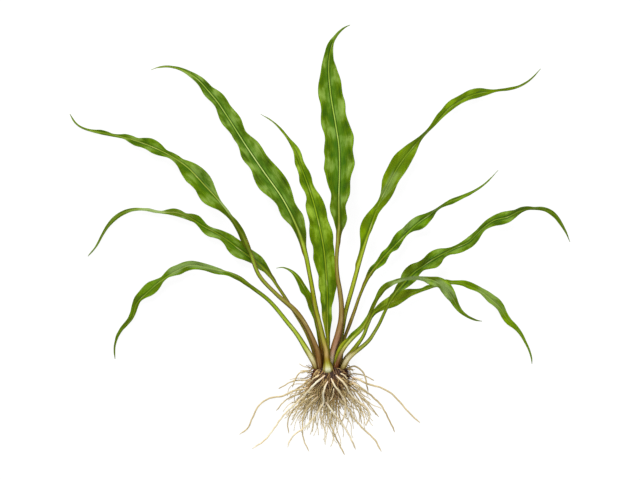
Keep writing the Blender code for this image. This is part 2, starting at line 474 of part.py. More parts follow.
def add_leaf(name, leaf):
    """A round petiole that flattens into a wavy blade with a raised midrib."""
    drawn = np.array(leaf["midrib"], float)
    path = np.column_stack([on_plane(drawn[:, :2]), drawn[:, 2:]])
    length = lengths_along(path)[-1]
    left, right = margin_widths(path, leaf["left"]), margin_widths(path, leaf["right"])
    blade_start = min(left[0][0], right[0][0])
    places = np.concatenate([
        np.linspace(0.0, blade_start, PETIOLE_STATIONS, endpoint=False),
        np.linspace(blade_start, length, BLADE_STATIONS + 1)[:-1],
    ])
    centre, thickness, side, up = frame_along(path, places)
    radius = thickness / 2
    half_widths = [
        np.maximum(np.interp(places, *margin, left=0.0, right=0.0), radius) for margin in (left, right)
    ]

    turn = np.zeros(len(places))
    for u, v, rise in leaf["turns"]:
        turned_at = margin_widths(path, [(u, v)])[0][0]
        turn += rise * np.exp(-(((places - turned_at) / TURN_REACH) ** 2))
    broadest = max(width.max() for width in half_widths)
    waves = [
        WAVE_HEIGHT * (width - radius) / broadest * np.sin(2 * np.pi * places / WAVE_LENGTH + phase)
        for width, phase in zip(half_widths, WAVE_PHASES)
    ]
    thinnest = BLADE_THICKNESS / 2 * np.minimum(1.0, radius / FULL_RIB)

    def point_at(share, face):
        half = 1 if share > 0 else 0
        width = half_widths[half]
        rib = radius * np.sqrt(np.maximum(0.0, 1 - (share * width / radius) ** 2))
        thick = 0.0 if abs(share) == 1 else np.maximum(rib, thinnest)
        lift = waves[half] * share**2 - turn * share
        return centre + side * (share * width)[:, None] + up * (lift + face * thick)[:, None]

    ring = [point_at(share, 1) for share in ACROSS] + [point_at(share, -1) for share in ACROSS[-2:0:-1]]
    rings = np.stack(ring, axis=1)
    rings[:, :, 2] += np.maximum(0.0, FLOOR_GAP - rings[:, :, 2].min(axis=1))[:, None]
    return closed_skin(name, rings, path[-1, :3], LEAF_GREEN, LEAF_ROUGHNESS)


def add_rootstock():
    """A lumpy barrel with a flat underside, where it rests."""
    angles = 2 * np.pi * np.arange(ROOTSTOCK_SIDES) / ROOTSTOCK_SIDES
    rings = []
    for v, half_width, half_depth in ROOTSTOCK:
        lump = 1 + sum(size * np.sin(count * angles + turn * v) for count, turn, size in ROOTSTOCK_LUMPS)
        x = (ROOTSTOCK_U - CENTRE_U) * PIXEL + half_width * lump * np.sin(angles)
        fullness = np.where(np.cos(angles) > 0, ROOTSTOCK_FULLER_BELOW, 1.0)
        z = ROOTSTOCK_HEIGHT - half_depth * fullness * lump * np.cos(angles)
        y = np.full(ROOTSTOCK_SIDES, (CENTRE_V - v) * PIXEL)
        rings.append(np.column_stack([x, y, np.maximum(z, 0.0)]))
    tip = np.array([rings[-1][:, 0].mean(), rings[-1][0, 1] - ROOTSTOCK_END, ROOTSTOCK_HEIGHT])
    return closed_skin("rootstock", np.array(rings), tip, ROOTSTOCK_BROWN, ROOTSTOCK_ROUGHNESS)


def fan_reach(angle):
    """How far the fan reaches at an angle from straight down, in pixels: lobes with notches between them."""
    lobe = np.abs(np.cos(angle * (FAN_LOBES - 1) * np.pi / (2 * np.radians(FAN_HALF_ANGLE))))
    return FAN_NOTCH + (FAN_TIP - FAN_NOTCH) * lobe**FAN_LOBE_SHARPNESS


def fan_top(share):
    """The fan's height at a share of the way from its inner edge to its outer one."""
    return FAN_EDGE_HEIGHT + FAN_HEIGHT * np.clip(1 - share, 0.0, 1.0) ** FAN_SLOPE


def add_fine_roots():
    """The mass of fine roots as one low fan, thick by the rootstock and thin at the tips of its lobes."""
    half = np.radians(FAN_HALF_ANGLE)
    angles = np.linspace(-half, half, FAN_COLUMNS)
    inner = np.column_stack([FAN_INNER_U * np.sin(angles), FAN_INNER_V * np.cos(angles)])
    outer = fan_reach(angles)[:, None] * np.column_stack([np.sin(angles), np.cos(angles)])
    rows = []
    for share in np.linspace(0.0, 1.0, FAN_ROWS):
        spot = inner + (outer - inner) * share
        flat = on_plane(spot + (ROOTSTOCK_U, ROOTSTOCK_V))
        rows.append(np.column_stack([flat, np.full(FAN_COLUMNS, fan_top(share))]))
    top = np.array(rows)
    bottom = top.copy()
    bottom[:, :, 2] = 0.0
    mesh = bpy.data.meshes.new("fine_roots")
    shape = bmesh.new()
    grids = [[[shape.verts.new(METRE * point) for point in row] for row in grid] for grid in (top, bottom)]
    for grid in grids:
        for row, following in zip(grid[:-1], grid[1:]):
            for i in range(FAN_COLUMNS - 1):
                shape.faces.new((row[i], row[i + 1], following[i + 1], following[i]))
    over, under = grids
    rims = [(over[0], under[0]), (over[-1], under[-1])]
    rims += [([row[i] for row in over], [row[i] for row in under]) for i in (0, -1)]
    for upper, lower in rims:
        for i in range(len(upper) - 1):
            shape.faces.new((upper[i], upper[i + 1], lower[i + 1], lower[i]))
    bmesh.ops.recalc_face_normals(shape, faces=shape.faces)
    shape.to_mesh(mesh)
    shape.free()
    return add_object("fine_roots", mesh, FAN_TAN, FAN_ROUGHNESS)


def ground_under(u, v):
    """The height of what lies below a main root at a pixel: the rootstock, the fine roots or nothing."""
    across, down = u - ROOTSTOCK_U, v - ROOTSTOCK_V
    from_middle = np.hypot(across * PIXEL / ROOTSTOCK_HALF_WIDTH, down * PIXEL / ROOTSTOCK_HALF_LENGTH)
    dome = ROOTSTOCK_HEIGHT + ROOTSTOCK_HALF_DEPTH * np.sqrt(np.maximum(0.0, 1 - from_middle**2))
    angle = np.arctan2(across, down)
    inner = 1 / np.hypot(np.sin(angle) / FAN_INNER_U, np.cos(angle) / FAN_INNER_V)
    share = (np.hypot(across, down) - inner) / (fan_reach(angle) - inner)
    in_fan = (np.abs(angle) < np.radians(FAN_HALF_ANGLE + FAN_SIDE_ROOM)) & (share < 1)
    slope = np.where(in_fan, fan_top(np.maximum(share, 0.0)), 0.0)
    return np.where(from_middle < 1, dome, slope)


def add_root(name, pixels, thickness, layer):
    """A tapering root that lies on whatever is below it and comes down to the plane."""
    drawn = np.array(pixels, float)
    knots = np.concatenate([[0.0], np.cumsum(np.hypot(*np.diff(drawn, axis=0).T))])
    share = np.linspace(0.0, 1.0, ROOT_STATIONS + 1)
    spots = curve_through(knots, drawn, knots[-1] * share)
    close_by = np.linspace(-1.0, 1.0, ROOT_FOOTHOLD)[:, None] / ROOT_STATIONS
    around = curve_through(knots, drawn, knots[-1] * np.clip(share + close_by, 0.0, 1.0).ravel())
    ground = ground_under(around[:, 0], around[:, 1]).reshape(ROOT_FOOTHOLD, -1).max(axis=0)
    width = thickness + (ROOT_TIP - thickness) * share
    raised = layer * ROOT_LAYER * np.clip(ROOT_LANDING * (1 - share), 0.0, 1.0)
    height = ground + ROOT_CLEARANCE + width / 2 + raised
    path = np.column_stack([on_plane(spots), height, width])
    centre, thick, side, up = frame_along(path, lengths_along(path)[:-1])
    angles = 2 * np.pi * np.arange(ROOT_SIDES) / ROOT_SIDES
    ring = side[:, None, :] * np.cos(angles)[None, :, None] + up[:, None, :] * np.sin(angles)[None, :, None]
    rings = centre[:, None, :] + ring * (thick / 2)[:, None, None]
    return closed_skin(name, rings, path[-1, :3], ROOT_CREAM, ROOT_ROUGHNESS)


clear_scene()
add_rootstock()
add_fine_roots()
for leaf_name, drawn_leaf in LEAVES.items():
    add_leaf(leaf_name, drawn_leaf)
for root_name, (root_path, root_thickness, root_layer) in ROOTS.items():
    add_root(root_name, root_path, root_thickness, root_layer)
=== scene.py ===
import bpy
import numpy as np
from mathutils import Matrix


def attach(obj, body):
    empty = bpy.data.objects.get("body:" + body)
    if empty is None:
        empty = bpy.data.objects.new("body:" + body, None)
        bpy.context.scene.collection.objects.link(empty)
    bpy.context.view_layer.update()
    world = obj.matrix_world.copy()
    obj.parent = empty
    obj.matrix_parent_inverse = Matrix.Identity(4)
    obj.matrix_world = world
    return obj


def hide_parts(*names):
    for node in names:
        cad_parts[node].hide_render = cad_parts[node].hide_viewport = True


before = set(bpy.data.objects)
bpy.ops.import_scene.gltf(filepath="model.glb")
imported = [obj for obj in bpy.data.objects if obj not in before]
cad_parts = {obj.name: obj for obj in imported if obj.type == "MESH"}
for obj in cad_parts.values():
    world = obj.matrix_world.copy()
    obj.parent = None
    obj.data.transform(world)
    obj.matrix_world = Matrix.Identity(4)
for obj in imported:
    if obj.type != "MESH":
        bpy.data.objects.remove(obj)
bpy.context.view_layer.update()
print("frame loaded with", len(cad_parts), "solids")

# Paths are drawn in photo pixels, u to the right and v down; heights and thicknesses are in
# millimetres. Shapes are worked out in millimetres and become metres in their meshes.
picture = {"wide": 640, "pixel": 0.65, "centreU": 320.0, "centreV": 240.0}  # a pixel spans 0.65 mm of plant
mm = 0.001
floorGap = 0.05  # the lowest that a leaf or root lies


# Camera, light and floor

cameraSettings = {"distance": 3.0, "sensor": 36.0, "sharpHeight": 0.008}
lightSettings = {
    "key": {"place": (-0.45, 1.10, 0.95), "size": 0.90, "power": 46.0},
    "fill": {"place": (0.60, -0.90, 1.10), "size": 1.00, "power": 16.0},
    "sky": (1.0, 1.0, 1.0),
    "skyStrength": 0.48,
    "level": 2.0,  # how many times as bright as white a white surface would look here, lying flat
    "haze": 0.003,  # what the sky's reflection adds to a leaf
}


def addCamera(settings):
    data = bpy.data.cameras.new("camera")
    data.sensor_width = settings["sensor"]
    data.lens = settings["sensor"] * settings["distance"] / (picture["wide"] * picture["pixel"] * mm)
    camera = bpy.data.objects.new("camera", data)
    camera.location = (0.0, 0.0, settings["distance"] + settings["sharpHeight"])
    bpy.context.scene.collection.objects.link(camera)
    bpy.context.scene.camera = camera


def addLight(name):
    settings = lightSettings[name]
    data = bpy.data.lights.new(name, "AREA")
    data.size = settings["size"]
    data.energy = settings["power"]
    lamp = bpy.data.objects.new(name, data)
    lamp.location = settings["place"]
    lamp.rotation_mode = "QUATERNION"
    lamp.rotation_quaternion = lamp.location.to_track_quat("Z", "Y")
    bpy.context.scene.collection.objects.link(lamp)


def addSky(settings):
    world = bpy.data.worlds.new("studio")
    world.use_nodes = True
    background = world.node_tree.nodes["Background"]
    background.inputs["Color"].default_value = (*settings["sky"], 1.0)
    background.inputs["Strength"].default_value = settings["skyStrength"]
    bpy.context.scene.world = world


# Shader maths

def shade(red, green, blue):  # the base colour that this light makes look like a screen colour, 0 to 255
    screen = np.array([red, green, blue]) / 255
    linear = np.where(screen <= 0.04045, screen / 12.92, ((screen + 0.055) / 1.055) ** 2.4)
    base = np.maximum(linear - lightSettings["haze"], 0.001) / lightSettings["level"]
    return (*base.tolist(), 1.0)


def stops(tones):  # a ramp's stops, from tones that each come after their place
    return [(place, shade(*tone)) for place, *tone in tones]


class Wire:  # a value or colour in a shader; arithmetic on it adds Math nodes
    def __init__(self, paint, socket):
        self.paint = paint
        self.socket = socket

    def __add__(self, other):
        return self.paint.maths("ADD", self, other)

    def __sub__(self, other):
        return self.paint.maths("SUBTRACT", self, other)

    def __rsub__(self, other):
        return self.paint.maths("SUBTRACT", other, self)

    def __mul__(self, other):
        return self.paint.maths("MULTIPLY", self, other)

    def __abs__(self):
        return self.paint.maths("ABSOLUTE", self)

    __radd__ = __add__


class Paint:  # one material, whose nodes are added by plain calls
    def __init__(self, name, constants):
        self.material = bpy.data.materials.new(name)
        self.material.use_nodes = True
        self.tree = self.material.node_tree
        self.shader = self.tree.nodes["Principled BSDF"]
        for socket, value in constants.items():
            self.shader.inputs[socket].default_value = value

    def node(self, kind, settings, sockets, output=0):
        made = self.tree.nodes.new(kind)
        for name, value in settings.items():
            setattr(made, name, value)
        for socket, value in sockets.items():
            if isinstance(value, Wire):
                self.tree.links.new(value.socket, made.inputs[socket])
            else:
                made.inputs[socket].default_value = value
        return Wire(self, made.outputs[output])

    def maths(self, operation, *values):
        return self.node("ShaderNodeMath", {"operation": operation}, dict(enumerate(values)))

    def read(self, *attributes):
        kind = "ShaderNodeAttribute"
        wires = [self.node(kind, {"attribute_name": attribute}, {}, "Fac") for attribute in attributes]
        return wires[0] if len(wires) == 1 else wires

    def place(self):
        return self.node("ShaderNodeTexCoord", {}, {}, "Object")

    def vector(self, x, y, z):
        return self.node("ShaderNodeCombineXYZ", {}, {"X": x, "Y": y, "Z": z})

    def noise(self, vector, scale, detail=2.0):
        sockets = {"Vector": vector, "Scale": scale, "Detail": detail, "Roughness": 0.5}
        return self.node("ShaderNodeTexNoise", {}, sockets)

    def between(self, value, low, high):  # 0 at low and 1 at high, smooth between and level past them
        sockets = {"Value": value, "From Min": low, "From Max": high}
        return self.node("ShaderNodeMapRange", {"interpolation_type": "SMOOTHSTEP"}, sockets)

    def mix(self, amount, first, second):
        return self.node("ShaderNodeMix", {"data_type": "RGBA"}, {0: amount, 6: first, 7: second}, 2)

    def multiplied(self, first, second):
        return self.node("ShaderNodeVectorMath", {"operation": "MULTIPLY"}, {0: first, 1: second})

    def ramp(self, value, stops):
        ramp = self.node("ShaderNodeValToRGB", {}, {"Fac": value})
        elements = ramp.socket.node.color_ramp.elements
        while len(elements) < len(stops):
            elements.new(1.0)
        for element, (position, colour) in zip(elements, stops):
            element.position = position
            element.color = colour
        return ramp

    def feed(self, socket, wire):
        self.tree.links.new(wire.socket, self.shader.inputs[socket])

    def bump(self, height, strength, distance):
        sockets = {"Height": height, "Strength": strength, "Distance": distance}
        self.feed("Normal", self.node("ShaderNodeBump", {}, sockets))


# Curves and surfaces

def onPlane(pixels):  # photo pixels as millimetres right of and above the origin
    u, v = np.asarray(pixels, float).T
    return np.column_stack([u - picture["centreU"], picture["centreV"] - v]) * picture["pixel"]


def curveThrough(knots, values, at):  # cubic pieces through the values, with the slopes of their neighbours
    slopes = np.gradient(values, knots, axis=0)
    first = np.clip(np.searchsorted(knots, at, side="right") - 1, 0, len(knots) - 2)
    span = (knots[first + 1] - knots[first])[:, None]
    t = (at - knots[first])[:, None] / span
    start = (2 * t**3 - 3 * t**2 + 1) * values[first] + (t**3 - 2 * t**2 + t) * span * slopes[first]
    end = (3 * t**2 - 2 * t**3) * values[first + 1] + (t**3 - t**2) * span * slopes[first + 1]
    return start + end


def lengthsAlong(points):
    steps = np.linalg.norm(np.diff(points, axis=0), axis=1)
    return np.concatenate([[0.0], np.cumsum(steps)])


def unit(vectors):
    return vectors / np.maximum(np.linalg.norm(vectors, axis=-1, keepdims=True), 1e-9)


def frameAlong(path, places, reach=0.02):
    # Centres, thicknesses, and the side and upward directions across a path. The direction along it is read
    # from a little behind each place to a little ahead; side is that crossed with straight up, and up is side
    # crossed with that.
    knots = lengthsAlong(path[:, :2])
    rows = curveThrough(knots, path, places)
    step = reach * knots[-1]
    ahead = curveThrough(knots, path, np.minimum(places + step, knots[-1]))[:, :3]
    behind = curveThrough(knots, path, np.maximum(places - step, 0.0))[:, :3]
    along = unit(ahead - behind)
    side = unit(np.cross(along, (0.0, 0.0, 1.0)))
    return rows[:, :3], rows[:, 3], side, np.cross(side, along)


def smoothed(values, spread):  # a running mean, weighted by a bell curve of that many places
    reach = int(3 * spread) + 1
    weights = np.exp(-((np.arange(-reach, reach + 1) / spread) ** 2) / 2)
    return np.convolve(np.pad(values, reach, mode="edge"), weights / weights.sum(), mode="valid")


def highestNear(values, reach):  # at each place, the highest value within that many places of it
    padded = np.pad(values, reach, mode="edge")
    return np.lib.stride_tricks.sliding_window_view(padded, 2 * reach + 1).max(axis=1)


def ease(values, low, high):  # 0 below low, 1 above high and smooth between
    t = np.clip((values - low) / (high - low), 0.0, 1.0)
    return t * t * (3 - 2 * t)


def wander(places, lengths, random):  # the mean of sines of these wavelengths, each with a random start
    starts = random.uniform(0.0, 2 * np.pi, len(lengths))
    sines = [np.sin(2 * np.pi * places / length + start) for length, start in zip(lengths, starts)]
    return sum(sines) / len(lengths)


def addMesh(name, points, faces, material):  # points in millimetres
    mesh = bpy.data.meshes.new(name)
    mesh.from_pydata((points * mm).tolist(), [], faces)
    mesh.shade_smooth()
    mesh.materials.append(material)
    piece = bpy.data.objects.new(name, mesh)
    bpy.context.scene.collection.objects.link(piece)
    return piece


def addPiece(name, node, points, faces, material, values):  # values: a number per point for each name
    piece = addMesh(name, points, faces, material)
    for word, numbers in values.items():
        layer = piece.data.attributes.new(word, "FLOAT", "POINT")
        layer.data.foreach_set("value", np.ascontiguousarray(numbers, np.float32).ravel())
    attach(piece, "root")
    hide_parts(node)


def ringFaces(rows, around):  # quads between rings of points, and a fan to a pole at either end
    ring, step = np.meshgrid(np.arange(rows - 1), np.arange(around), indexing="ij")
    following = (step + 1) % around
    corners = [ring * around + step, ring * around + following]
    corners += [(ring + 1) * around + following, (ring + 1) * around + step]
    quads = np.stack(corners, axis=-1).reshape(-1, 4).tolist()
    turn = np.arange(around)
    onward = (turn + 1) % around
    base, tip = rows * around, rows * around + 1
    last = (rows - 1) * around
    start = np.column_stack([onward, turn, np.full(around, base)]).tolist()
    end = np.column_stack([last + turn, last + onward, np.full(around, tip)]).tolist()
    return quads + start + end


def closed(rings):  # the points of the rings, and a pole in the middle of the first and of the last
    return np.vstack([rings.reshape(-1, 3), rings[0].mean(axis=0), rings[-1].mean(axis=0)])


# Floor: a light table, a milky sheet lit from below, so that hardly any shadow shows on it

floorSettings = {
    "half": 6.0,
    "colour": (0.06, 0.06, 0.06),
    "roughness": 0.75,
    "mottle": 0.02,  # how much darker the dark parts of its mottle are
    "mottleScale": 40.0,
    "glow": 0.91,
}


def addFloor(settings):
    half = settings["half"] / mm
    corners = np.array([(-half, -half, 0.0), (half, -half, 0.0), (half, half, 0.0), (-half, half, 0.0)])
    glow = {"Emission Color": (1.0, 1.0, 1.0, 1.0), "Emission Strength": settings["glow"]}
    paint = Paint("floor", {"Roughness": settings["roughness"], **glow})
    mottle = paint.noise(paint.place(), settings["mottleScale"], 3.0)
    colour = (*settings["colour"], 1.0)
    dim = (*(value * (1 - settings["mottle"]) for value in settings["colour"]), 1.0)
    paint.feed("Base Color", paint.mix(mottle, dim, colour))
    addMesh("floor", corners, [(0, 1, 2, 3)], paint.material)


# Leaves

leafForm = {
    "step": 0.6,  # mm from ring to ring
    "around": 60,  # points round a ring
    "middle": 0.4,  # how far apart they are at the midrib, as a share of an even spacing
    "edge": 0.15,  # and at the margins
    "end": 0.998,  # where the last ring lies, as a share of the length
    "every": 4.0,  # mm from one width of a margin to the next
    "thinnest": 0.12,  # the least radius of a midrib
    "lamina": 0.17,  # half the thickness of a blade
    "bladeGrows": (-2.0, 14.0),  # from where to where round its start the stalk's section becomes a blade's
    "ribWidth": 0.8,  # how wide the rib's bell curve is, as a share of the stalk's radius there
    "ribAbove": 0.8,  # how high it stands above the blade and below it, likewise
    "ribBelow": 0.9,
    "ribFade": 38.0,  # how far along the blade the stalk takes to sink into it
    "ribLine": 0.36,  # half the width of the pale line that is left of it there
    "groove": 0.30,  # depth and width of the channel along its upper side, as shares of its radius
    "grooveWidth": 0.7,
    "fold": 0.10,  # how far the halves rise from the midrib, as a share of their width
    "slant": 0.6,  # how far forward a wave has moved for each mm outwards
    "swell": 1.4,  # the power of the share across by which waves grow outwards
    "crinkle": 0.16,  # height of the small unevenness of a blade
    "crinkleAlong": (6.1, 4.3, 3.1),  # lengths of its waves
    "crinkleAcross": (5.3, 3.7),
    "blur": 2.5,  # how far a patch of another colour takes to fade along the leaf
    "blurAcross": 0.5,
    "broad": (1.2, 3.5),  # the half widths between which a blade shows its inner tones
    "stalkBlend": 3.0,  # the half width at which the stalk's radius no longer widens it
    "wavesSetIn": 2.0,  # how far the blade reaches past the stalk where its waves have their full height
    "crinkleSetsIn": 4.0,
    "facingAt": 0.6,  # how far across a half its waves' slopes are turned to the light
    "narrower": 0.9,  # waves are lower where the leaf is narrower, by this power of its share of the widest
    "restReach": 4.0,  # how far along the leaf a spot that the floor lifts lifts the rest
}


def halfWidth(margin, places, length, radius):  # a half's width along the leaf, at least the stalk's radius
    start, widths = margin
    knots = start + leafForm["every"] * np.arange(-1.0, len(widths) + 1.0)
    knots[-1] = max(length, knots[-2] + 0.5)
    rows = np.concatenate([[0.0], widths, [0.0]])[:, None]
    half = curveThrough(knots, rows, np.clip(places, knots[0], knots[-1]))[:, 0]
    half = np.where(places < knots[0], 0.0, np.maximum(half, 0.0))
    stalk = radius**2 * (1 - ease(half, 0.0, leafForm["stalkBlend"]))
    return np.maximum(np.sqrt(half**2 + stalk), radius)


def window(values, first, last, blur):  # 1 from first to last and 0 outside, with soft ends
    return ease(values, first - blur, first + blur) * (1 - ease(values, last - blur, last + blur))


def patches(drawn, places, spread):  # 1 in soft-edged patches, each from and to a place and a distance across
    amount = np.zeros_like(spread)
    for first, last, inner, outer, strength in drawn:
        lengthwise = window(places, first, last, leafForm["blur"])[:, None]
        across = window(spread, inner, outer, leafForm["blurAcross"])
        amount = np.maximum(amount, strength * lengthwise * across)
    return amount


def creaseDepth(crease, places, spread):  # how far a point lies beyond a crease from one spot to another
    outside = np.full_like(spread, -5.0)
    if crease is None:
        return outside
    (first, start), (last, end) = crease[:2]
    along = ((places - first) / (last - first))[:, None]
    beyond = spread - start - (end - start) * along
    return np.maximum(outside, np.where((along > 0) & (along < 1), beyond, outside))


def bandPhase(places, bands):  # 0 at one light band, a whole turn more at the next, and so on past both ends
    bands = np.array(bands, float)
    more = np.arange(1, 12)
    before = bands[0] - (bands[1] - bands[0]) * more[::-1]
    after = bands[-1] + (bands[-1] - bands[-2]) * more
    knots = np.concatenate([before, bands, after])
    turns = 2 * np.pi * np.arange(len(knots), dtype=float)[:, None]
    return curveThrough(knots, turns, places.ravel())[:, 0].reshape(places.shape)


def waves(leaf, places, share, spread, width, side, up):
    # Each half's margin rises and falls by a cosine of the length along the leaf, which grows outwards with a
    # power of share. The slopes that face the key light lie on the half's light bands.
    form = leafForm
    onward = places[:, None] - form["slant"] * np.abs(spread)
    phase = np.where(share < 0, bandPhase(onward, leaf["leftBands"]), bandPhase(onward, leaf["rightBands"]))
    pitch = np.gradient(phase, places, axis=0)
    key = unit(np.array(lightSettings["key"]["place"][:2]))
    ahead = (np.cross(up, side)[:, :2] @ key)[:, None]
    outward = (side[:, :2] @ key)[:, None] * np.sign(share)
    lean = -form["swell"] / np.maximum(form["facingAt"] * width, 1.0) * outward
    facing = np.arctan2(pitch * (ahead - form["slant"] * outward), lean)
    tall = leaf["waveHeight"] * np.abs(share) ** form["swell"] * (width / width.max()) ** form["narrower"]
    # the second value is 1 on each light band, which the blade's colour follows as a painted highlight
    return tall * np.cos(phase + facing), np.cos(phase)


def sharesAround():
    # share runs from -1 at the left margin to 1 at the right one over the upper side, and back below. It is a
    # sum of the first, third and fifth powers of even steps, with its points closer at midrib and margins.
    steps = np.linspace(-1.0, 1.0, leafForm["around"] // 2 + 1)
    dense, edge = leafForm["middle"], leafForm["edge"]
    cubic = (5 - 4 * dense - edge) / 2
    shares = dense * steps + cubic * steps**3 + (1 - dense - cubic) * steps**5
    share = np.concatenate([shares, shares[-2:0:-1]])[None, :]
    upper = np.concatenate([np.full(len(shares), True), np.full(len(shares) - 2, False)])[None, :]
    return share, upper


def leafSection(share, upper, spread, radius, blade, sunk):
    # The stalk's section is a circle, radius times sqrt(1 - share squared). The blade's is a thin lens with a
    # rib below and above it, a bell curve of spread; along the blade the upper rib gives way to a channel.
    form = leafForm
    stalk = (1 - blade) * radius * np.sqrt(np.maximum(0.0, 1 - share**2))
    lens = form["lamina"] * (1 - share**4)
    rib = radius * np.exp(-((spread / (form["ribWidth"] * radius)) ** 2))
    channel = form["groove"] * radius * np.exp(-((spread / (form["grooveWidth"] * radius)) ** 2))
    above = stalk + blade * (lens + (1 - sunk) * form["ribAbove"] * rib - sunk * channel)
    below = stalk + blade * (lens + form["ribBelow"] * rib)
    return np.where(upper, above, -below)


def leafLift(leaf, places, share, spread, waving, beyond, free, blade, random):
    # How far both sides of the blade are lifted: waves, small sines along and across it, a fold that rises
    # away from the midrib, bell curves that tip the blade on edge, and a fall beyond the crease.
    form, along = leafForm, places[:, None]
    lift = waving * np.clip(free / form["wavesSetIn"], 0.0, 1.0)
    fine = wander(along - form["slant"] * np.abs(spread), form["crinkleAlong"], random) * np.abs(share)
    fine += wander(spread * 2 + along, form["crinkleAcross"], random)
    lift += form["crinkle"] * fine * np.clip(free / form["crinkleSetsIn"], 0.0, 1.0) * np.abs(share) ** 0.5
    lift += form["fold"] * np.abs(spread) * blade
    for at, rise, reach in leaf.get("turns", ()):
        lift -= rise * np.exp(-(((along - at) / reach) ** 2)) * share
    if "crease" in leaf:
        lift -= leaf["crease"][2] * np.maximum(beyond, 0.0)
    return lift


def leafShape(leaf, random):
    # A point lies at its ring's centre, plus side times spread, plus up times the height of section and lift,
    # where spread is share times the width of that half.
    form = leafForm
    drawn = np.array(leaf["midrib"], float)
    path = np.column_stack([onPlane(drawn[:, :2]), drawn[:, 2:]])
    length = lengthsAlong(path[:, :2])[-1]
    places = np.linspace(0.0, length * form["end"], int(length / form["step"]))
    along = places[:, None]
    centre, thickness, side, up = frameAlong(path, places)
    radii = np.maximum(thickness / 2, form["thinnest"])
    radius = radii[:, None]
    share, upper = sharesAround()
    left, right = (halfWidth(leaf[name], places, length, radii)[:, None] for name in ("left", "right"))
    width = np.where(share < 0, left, right)
    spread = share * width

    start = min(leaf["left"][0], leaf["right"][0])
    sinks = leaf.get("sinks", start)
    blade = ease(along, start + form["bladeGrows"][0], start + form["bladeGrows"][1])
    sunk = ease(along, sinks, sinks + form["ribFade"])
    waving, litBand = waves(leaf, places, share, spread, width, side, up)
    beyond = creaseDepth(leaf.get("crease"), places, spread)
    height = leafLift(leaf, places, share, spread, waving, beyond, width - radius, blade, random)
    height += leafSection(share, upper, spread, radius, blade, sunk)
    rings = centre[:, None, :] + side[:, None, :] * spread[..., None] + up[:, None, :] * height[..., None]
    low = np.maximum(0.0, floorGap - rings[:, :, 2].min(axis=1))
    reach = int(form["restReach"] / form["step"])
    rings[:, :, 2] += smoothed(highestNear(low, reach), reach / 2)[:, None]

    whole = np.ones_like(spread)
    values = {
        "share": share * whole,
        "spread": spread,
        "along": along * whole,
        "stem": along / length * whole,
        "line": np.abs(spread) / (radius * (1 - sunk) + form["ribLine"] * sunk),  # 1 at the midrib's edges
        "litBand": litBand,
        "blade": blade * whole,
        "grown": sunk * whole,
        "under": ~upper * whole,
        "crease": beyond,
        "broad": ease(width, *form["broad"]),
    }
    for name in ("yellow", "pale", "olive"):
        values[name] = patches(leaf.get(name, ()), places, spread)
    return rings, values


def addLeaf(node, leaf, seed):
    rings, values = leafShape(leaf, np.random.default_rng(seed))
    values = {
        name: np.concatenate([number.ravel(), [number[0].mean(), number[-1].mean()]])
        for name, number in values.items()
    }
    faces = ringFaces(*rings.shape[:2])
    addPiece(node + "_skin", node, closed(rings), faces, leafMaterial(node, leaf), values)


leafFinish = {
    "roughness": 0.38,
    "gloss": 0.03,
    "bumpDepth": 0.0004,
    "veins": 7,  # in each half
    "cloud": 0.12,  # cloudy patches per mm
    "streak": (0.42, 0.12),  # streaks per mm across and along the blade
    "thread": (2.6, 0.12),  # finer ones
    "fibre": (6.0, 0.10),  # fibres from midrib to margin, and per mm along the stalk
    # the stalk's sides keep these shares of its colour as painted shade of its round form
    "shadedRim": (0.50, 0.42, 0.16),  # what the stalk's sides keep of its colour
    "tones": {  # as screen colours
        # pale is a painted sheen, olive partly painted shade, ribShade and paleFibreAndSheen painted shade
        # and sheen
        "base": (52, 84, 2), "inner": (72, 134, 44), "margin": (120, 156, 4), "under": (118, 140, 92),
        "ribShade": (44, 74, 0), "paleFibreAndSheen": (244, 236, 176), "yellow": (168, 176, 40), "olive": (86, 102, 0),
        "pale": (156, 180, 112), "beyondCrease": (112, 140, 0), "creaseHighlight": (150, 178, 80),
    },
    # litBand in the mottle is a painted highlight: lighter green on the waves' light bands
    "mottle": {"cloud": 0.42, "streak": 0.42, "thread": 0.16, "litBand": 0.06},  # what the three greens follow
    "amounts": {  # how much of each tone is mixed in; Deep is added times the leaf's own deep
        "vein": 0.20, "inner": 0.05, "innerDeep": 0.35, "margin": 0.75, "under": 0.45, "ribShade": 0.35,
        "ribShadeDeep": 0.5, "sides": 0.65, "edgeShade": 0.95, "darkFibre": 0.42, "paleFibreAndSheen": 0.35,
        "creaseHighlight": 0.4,
    },
    "zones": {  # where each begins, and where it is in full, which is the lower value where it fades outwards
        "green": (0.31, 0.70),  # of the mottle
        "vein": (0.14, 0.0),  # from the middle of each vein
        "base": (9.0, 1.0),  # in half widths of the midrib, as the next four
        "ribShadeInner": (0.9, 1.2),
        "ribShadeOuter": (4.0, 1.6),
        "blade": (0.70, 1.15),
        "edgeShade": (0.30, 0.85),
        "baseAlong": (0.5, 0.0),  # of the way over which the stalk sinks in
        "inner": (0.70, 0.10),  # of the way to the margin, as the next two
        "margin": (0.80, 0.97),
        "rightSide": (-0.2, 0.2),
        "sides": (8.0, 24.0),  # mm from the base
        "darkFibre": (0.48, 0.72),  # of the fibres' noise
        "paleFibreAndSheen": (0.46, 0.28),
        "yellow": (0.30, 0.52),  # of the mottle, as the next three
        "olive": (0.74, 0.48),
        "pale": (0.34, 0.52),
        "creaseMottle": (0.76, 0.45),
        "beyondCrease": (-0.2, 0.5),  # mm beyond the crease
        "creaseHighlight": (0.45, 0.1),  # mm from the middle of its pale line
    },
    "creaseHighlightAt": 0.25,  # mm before the crease to the middle of that line
}


